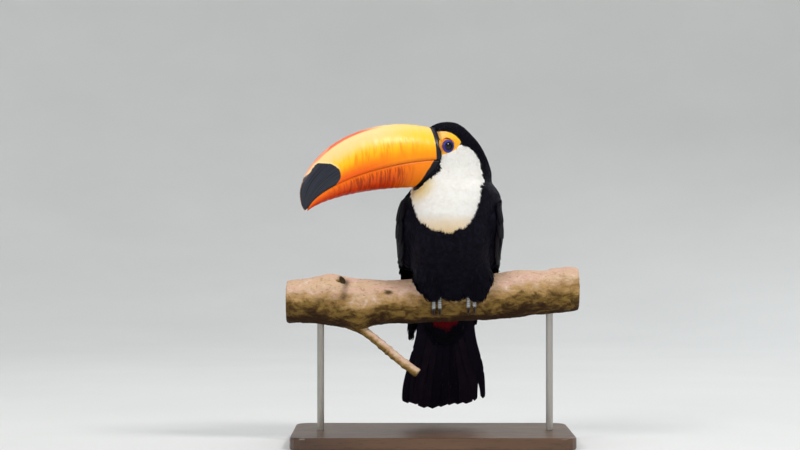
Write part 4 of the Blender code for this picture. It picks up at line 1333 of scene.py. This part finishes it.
def build_tail(finish):
    axis, aside, dorsal = tail_frame()
    parts, draw = Parts(), np.random.default_rng(31)
    count = len(TAIL_LENGTHS)
    full = np.linalg.norm(TAIL_END - TAIL_START) - TAIL_ROOT
    u, v = np.linspace(0.0, 1.0, 44), np.linspace(-1.0, 1.0, 13)
    for n, share in enumerate(TAIL_LENGTHS):
        across = (2 * (n + 0.5) / count - 1) * TAIL_FAN
        width = along(TAIL_HALF_WIDTHS, u * share)
        lift = 1.4 - 0.4 * abs(n - 0.5 * (count - 1)) - 5.0 * across**2
        wave = 0.5 * np.sin(3.0 * u + n)
        path = TAIL_START + axis * (TAIL_ROOT + full * share * u)[:, None] + aside * (width * across)[:, None]
        path = path + dorsal * (lift + wave)[:, None]
        ups = unit(dorsal + aside * 0.22 * across + 0 * path)
        half, nicks = tapered(u, 0.7, 0.06, draw)
        notch = (0.56 if n > 7 else 0.0) * ease(0.66, 0.95, u)
        half = half * (8.6 if n not in (0, count - 1) else 7.2) * (1 - notch)
        offset = nicked(half, v, nicks)
        sideways = unit(np.cross(ups, unit(np.gradient(path, axis=0))))
        base = path[:, None] + sideways[:, None] * offset[..., None]
        lens = 0.55 * (1 - v**2) + 0.35 * bell(v, 0.09)
        drop = 0.9 * v**2 * (half / half.max())[:, None]
        top = base + ups[:, None] * (0.5 * lens - drop + 0.03 * (np.abs(v) < 1))[..., None]
        low = base - ups[:, None] * (0.4 * lens + drop)[..., None]
        add_vane(parts, top, low, path, offset)
    return parts.make("tail_feathers", finish, "plumage_black", ("tail",))


def build_wing(side_name, finish):
    grid, normals = wing_grid(side_name)
    parts, draw = Parts(), np.random.default_rng(41 if side_name == "left" else 42)
    chords = np.linalg.norm(grid[:, -1] - grid[:, 0], axis=-1)
    u, v = np.linspace(0.0, 1.0, 26), np.linspace(-1.0, 1.0, 9)

    def pick(ends, share):
        return ends[0] + (ends[1] - ends[0]) * share + draw.uniform(-0.012, 0.012)

    for count, root_t, root_s, tip_t, tip_s, wide, rounding, lift in WING_ROWS:
        for n in range(count):
            share = n / (count - 1)
            t = pick(root_t, share) + (pick(tip_t, share) - pick(root_t, share)) * u
            s = pick(root_s, share) + (pick(tip_s, share) - pick(root_s, share)) * ease(-0.2, 1.0, u)
            half, nicks = tapered(u, 0.6, rounding, draw)
            chord = np.interp(t, np.linspace(0, 1, len(chords)), chords)
            offset = nicked(np.minimum(half * wide, 0.46 * chord), v, nicks)
            across = np.clip(s[:, None] + offset / chord[:, None], 0.0, 1.0)
            where = t[:, None] + 0 * across
            place, up = on_grid(grid, where, across), unit(on_grid(normals, where, across))
            lens = 0.45 * (1 - v**2) + 0.3 * bell(v, 0.12)
            rise = lift - 1.3 + 0.5 * ease(0.2, 1.0, u)[:, None] + 0.16 * (n % 2) - 0.3 * v**2 - 0.35 * v
            top = place + up * (rise + 0.5 * lens + 0.02)[..., None]
            low = place + up * (rise - 0.5 * lens)[..., None]
            add_vane(parts, top, low, place[:, 4], offset)
    return parts.make("wing_feathers_" + side_name, finish, "plumage_black")


# ---- perch


def from_point(points, place, shrink=1.0):
    """Distance of each point from a place, shorter along X by shrink."""
    return np.linalg.norm((points - np.array(place)) * (shrink, 1.0, 1.0), axis=-1)


def from_line(points, start, end):
    """Distance of each point from a straight line between two places."""
    start, end = np.array(start), np.array(end)
    share = np.clip(((points - start) @ (end - start)) / ((end - start) @ (end - start)), 0.0, 1.0)
    return np.linalg.norm(points - start - share[..., None] * (end - start), axis=-1)


def capped_rings(rings, steps):
    """Adds rings that close a tube's two ends towards their middles."""
    shares = np.linspace(0.03, 1.0, steps, endpoint=False)[:, None, None]
    first, last = rings[0], rings[-1]
    head = first.mean(0) * (1 - shares) + first * shares
    tail = (last.mean(0) * (1 - shares) + last * shares)[::-1]
    return np.concatenate((head, rings, tail))


def with_ends(values, steps, first, last):
    """A field of a tube's rings, with its values on the rings that close the ends."""
    width = values.shape[1]
    return np.concatenate((np.full((steps, width), first), values, np.full((steps, width), last)))


def bark_fields(grid, steps, lean, scar_and_shade=0.0):
    """What the bark's finish reads. rim is how far out a point of a ring lies, against the widest ring."""
    ring = np.linalg.norm(grid - grid.mean(1, keepdims=True), axis=-1)
    widest = ring.max(1, keepdims=True)
    rim = ring / widest * np.minimum(1.0, widest / ring[len(ring) // 2].max())
    cut = with_ends(np.zeros_like(ring[steps:-steps]), steps, 1, 1)
    return {"lean": lean, "cut": cut, "ring": ring, "rim": rim, "scar_and_shade": scar_and_shade}


def rod_grid(root, tip, radii, rows, columns, seed, rough, bend=0.0):
    """A rough tapered rod with closed ends, its fields, and each ring's share of the length."""
    steps = 6
    run = unit(tip - root)
    side = unit(np.cross(run, UP))
    over = np.cross(side, run)
    t, a = np.linspace(0.0, 1.0, rows)[:, None], turns(columns)[None]
    radius = radii[0] + (radii[1] - radii[0]) * t + 0 * a
    out = side * np.cos(a)[..., None] + over * np.sin(a)[..., None]
    middle = root + (tip - root) * t[..., None] + over * (bend * np.sin(2 * math.pi * t))[..., None]
    base = middle + out * radius[..., None]
    radius = radius + rough * ripple(base * 0.8, 9.0, seed) + 0.5 * rough * ripple(base, 2.8, seed + 1)
    radius = radius - 0.7 * np.exp(-(1 - t) * np.linalg.norm(tip - root) / 0.7)
    grid = capped_rings(middle + out * radius[..., None], steps)
    share = with_ends(t + 0 * a, steps, 0, 1)
    grid[-steps:] += run * (0.4 * ripple(grid[-steps:], 2.5, seed + 2))[..., None]
    # lean is how far each ring point faces up, which the finish paints as a pale top and a dark underside, partly
    # as painted highlight and shade
    return grid, bark_fields(grid, steps, with_ends(np.sin(a) + 0 * t, steps, 0, 0.5)), share


def build_branch(finish):
    """The cut branch with its collar, knots and stub."""
    rows, columns, steps = 380, 160, 12
    x, z, radius = along(BRANCH_STATIONS, np.linspace(0, 1, rows)).T[..., None]
    a = turns(columns)[None]
    around = stacked(0.0 * x, np.cos(a), np.sin(a))
    base = stacked(x, 0.0, z) + around * radius[..., None]
    swell = sum(size * ripple(base * (shrink, 1.0, 1.0), *wave) for size, shrink, *wave in BARK_WAVES)
    crease, twig_foot = from_line(base, *COLLAR_CREASE), from_point(base, TWIG_FOOT)
    swell = swell + 2.2 * bell(from_point(base, COLLAR), 13.0)
    swell = swell + 1.4 * bell(from_line(base, *COLLAR_RIDGE), 4.5) - 1.9 * bell(crease, 3.6)
    swell = swell + 3.0 * bell(twig_foot, 12.0)
    # painted shadow along the crease under the stub and along COLLAR_SHADE; the knots' scars below are the bark's
    # own
    scar_and_shade = 0.85 * bell(crease, 3.8) + 0.3 * bell(from_line(base, *COLLAR_SHADE), 4.0)
    for place, height, radii in KNOTS:
        away = from_point(base, place, 0.7)
        swell = swell + height * bell(away, 7.0) - 0.8 * height * bell(away, 2.6)
        if radii:
            scar_and_shade = scar_and_shade + ease(*radii, from_point(base, place, 0.6))
    ends = np.minimum(x - BRANCH_STATIONS[0][0], BRANCH_STATIONS[-1][0] - x)
    swell = swell - 1.6 * np.exp(-ends / 1.4)
    grid = capped_rings(base + around * swell[..., None], steps)
    grid[:steps, :, 0] += 0.35 * ripple(grid[:steps], 3.0, 55)
    grid[-steps:, :, 0] += 0.5 * ripple(grid[-steps:], 4.0, 56)
    axis_z = with_ends(z, steps, z[0, 0], z[-1, 0])
    # lean by height over the axis: the finish paints the top pale and the underside dark, partly as painted
    # highlight and shade
    lean = np.clip((grid[..., 2] - axis_z) / BRANCH_RADIUS, -1, 1)
    lean = lean + with_ends(0.55 * bell(twig_foot, 17.0), steps, 0, 0)  # paler where the twig grows
    parts = Parts()
    parts.add(grid, **bark_fields(grid, steps, lean, with_ends(scar_and_shade, steps, 0, 0)))
    stub, fields, share = rod_grid(*STUB, (10.5, 5.4), 30, 40, 57, 0.4)
    fields["scar_and_shade"] = fields["cut"] * ease(1.0, 0.8, fields["rim"]) + 0.4 * ease(0.9, 0.98, share)
    fields["cut"] = 0.0
    parts.add(stub, **fields)
    return parts.make("branch_bark", finish, "bark", ("branch",))


def build_twig(finish):
    grid, fields, share = rod_grid(*TWIG, (4.9, 5.1), 110, 44, 61, 0.22, 0.5)
    swell = 0.5 * bell(share, 0.11) + 0.1 * ease(0.9, 1.0, share)
    for place, height in TWIG_KNOTS:
        swell = swell + height * bell(share - place, 0.02)
    grid = grid + (grid - grid.mean(1, keepdims=True)) * swell[..., None]
    fields["lean"] = fields["lean"] + 0.2 * ease(0.45, 0.6, share)
    fields["scar_and_shade"], fields["cut"] = fields["cut"], 0.35 * fields["cut"]
    return make_tube("twig_bark", grid, finish, "bark", ("twig",), **fields)


# ---- feet


def round_branch(x, angle, height):
    """Points at this height over the bark. The angle runs from the branch's front over its top."""
    reach = keyed(BRANCH_STATIONS, x, 2) + height
    return stacked(x, -reach * np.cos(angle), keyed(BRANCH_STATIONS, x) + reach * np.sin(angle))


def build_foot(side_name, x, finishes):
    """Two toes forward and two back round the branch, the pad that joins them, the shin and the claws."""
    scales, claws, names = Parts(), Parts(), []
    t, a = np.linspace(0.0, 1.0, 70)[:, None], turns(26)[None]
    s, b = np.linspace(0.0, 1.0, 20)[:, None], turns(14)[None]
    knuckle = 1 + 0.08 * np.cos(2 * math.pi * TOE_KNUCKLES * t)
    radius = TOE_RADIUS * (1 - (1 - TOE_TAPER) * t) * knuckle * np.where(t > 0.98, 0.8, 1.0)
    thin = TOE_RADIUS * TOE_TAPER * (1 - 0.93 * s**1.8)
    over = np.clip(np.sin(a) + 0.35, 0.0, 1.0)
    spread = TOE_SPREAD[0] + (TOE_SPREAD[1] - TOE_SPREAD[0]) * t
    for row, (start, end) in (("front", FRONT_TOE), ("back", BACK_TOE)):
        for side in (-1, 1):
            place = "outer" if (side > 0) == (side_name == "left") else "inner"
            names.append(f"claw_{row}_{place}_{side_name}")
            ridge = np.abs(np.sin(math.pi * (19 * t + 0.6 * np.sin(7 * t + side)))) ** 0.6
            grain = 0.05 * ripple(stacked(t * 60, a * 3, side), 2.0, 71)
            ring = radius * (1 + 0.1 * (ridge - 0.6) * over) + grain
            toe = round_branch(x + side * spread + ring * np.cos(a), start + (end - start) * t,
                               TOE_LEVEL + ring * np.sin(a))
            # over is the toe's upper side, where the scutes are painted pale, partly as painted highlight
            scales.add(toe, scute=ridge * over + 0.15 * (1 - over))
            bend = end + math.copysign(1.0, end - start) * (CLAW_START + (CLAW_ANGLE - CLAW_START) * s)
            claws.add(round_branch(x + side * TOE_SPREAD[1] + thin * 0.85 * np.cos(b), bend,
                                   TOE_LEVEL - 1.6 * s**2 + thin * np.sin(b)))
    middle = round_branch(x, math.radians(88.0), TOE_RADIUS + 0.9)
    knee = middle + np.array((2.0 if side_name == "left" else -2.0, 6.0, 17.0))
    shin, _, _ = rod_grid(middle - UP, knee, (4.2, 3.4), 24, 26, 73, 0.15)
    fall = np.linspace(0.02, math.pi - 0.02, 22)[:, None]
    pad = stacked(7.4 * np.sin(fall) * np.cos(a), 8.6 * np.sin(fall) * np.sin(a), 3.6 * np.cos(fall))
    for grid in (shin, middle + pad):
        scales.add(grid, scute=np.abs(np.sin(np.arange(len(grid))[:, None] * 0.9)))
    scales.make("foot_scales_" + side_name, finishes["foot"], "foot_skin", ("foot_" + side_name,))
    claws.make("claws_" + side_name, finishes["claw"], "claw", names)


# ---- stage


def build_stage():
    """A pale round floor that curves up all round into a low wall, soft lights and a pale room."""
    turn, a = np.linspace(0.0, math.pi / 2, 33), turns(96)
    radii = np.concatenate(((0.0, 0.8, 1.6), FLOOR_RADIUS + FLOOR_BEND * np.sin(turn), (4.82,)))[:, None]
    heights = np.concatenate(((0.0, 0.0, 0.0), WALL_RISE - WALL_RISE * np.cos(turn), (2.6,)))[:, None]
    rings = stacked(radii * np.cos(a), radii * np.sin(a), heights)
    mesh = bpy.data.meshes.new("floor")
    mesh.from_pydata(rings.reshape(-1, 3).tolist(), [], tube_faces(len(radii), len(a)).tolist())
    mesh.shade_smooth()
    floor = placed("floor", mesh)
    made = Finish("floor", Roughness=0.85, Specular_IOR_Level=0.2)
    pale = made.ramp(made.noise(3.0), (0.3, (0.74, 0.75, 0.745)), (0.7, (0.77, 0.78, 0.775)))
    mesh.materials.append(made.done(pale))
    world = bpy.data.worlds.new("soft_room")
    world.use_nodes = True
    world.node_tree.nodes["Background"].inputs["Color"].default_value = (0.93, 0.965, 1.0, 1.0)
    world.node_tree.nodes["Background"].inputs["Strength"].default_value = 0.2
    bpy.context.scene.world = world
    for name, place, aim, size, energy, colour in LIGHTS:
        light = bpy.data.lights.new(name, "AREA")
        light.shape = "DISK"
        light.size, light.energy, light.color = size, energy, colour
        made = placed(name, light)
        made.location = place
        made.rotation_euler = (Vector(aim) - Vector(place)).to_track_quat("-Z", "Y").to_euler()


def build_camera():
    data = bpy.data.cameras.new("camera")
    data.lens, data.sensor_width = LENS, 36.0
    made = placed("camera", data)
    made.location = CAMERA_PLACE
    made.rotation_euler = (math.pi / 2, 0.0, 0.0)
    bpy.context.scene.camera = made


# ---- the model

FINISHES = {
    "black": black_plumage(), "white": white_plumage(), "red": red_plumage(),
    "flight": flight_plumage("plumage_flight", 1.0), "tail": flight_plumage("plumage_tail", 2.7),
    "lid": lid_finish(), "eye": eye_finish(), "foot": foot_finish(), "claw": claw_finish(),
}

skin_points, skin_triangles = finer_face(*build_skin())
skin_fields = markings(skin_points)
winged = on_wing(skin_points)
for key in ("white", "red"):
    skin_fields[key] = np.where(winged, -5.0, skin_fields[key])
skin = make_piece("skin", skin_points, [skin_triangles], skin_finish(), "plumage_black", FLESH, skin_fields)
skin_uv = unwrap(skin)
skin_normals = vertex_normals(skin.data)
skin_tree = tree_of(skin_points, skin_triangles)

build_tail(FINISHES["tail"])
build_wing("left", FINISHES["flight"])
build_wing("right", FINISHES["flight"])
build_bill("upper_mandible", "bill_upper", CULMEN, 1.0, 1.35, upper_finish(), "bill_orange")
build_bill("lower_mandible", "bill_lower", GONYS, LOWER_SHARE, 1.5, lower_finish(), "bill_red")
for side_name, side in (("left", 1), ("right", -1)):
    build_eye(side_name, side, FINISHES)
    build_foot(side_name, FOOT_PLACES[side_name], FINISHES)
build_branch(bark_finish("branch_bark", 0.0))
build_twig(bark_finish("twig_bark", 0.04))
coat()

for name, finish in (("stand_base", board_finish()), ("stand_rod_left", metal_finish())):
    for place in NODES[name].material_slots:
        place.material = finish

build_stage()
build_camera()
bpy.context.scene.view_settings.view_transform = "Standard"
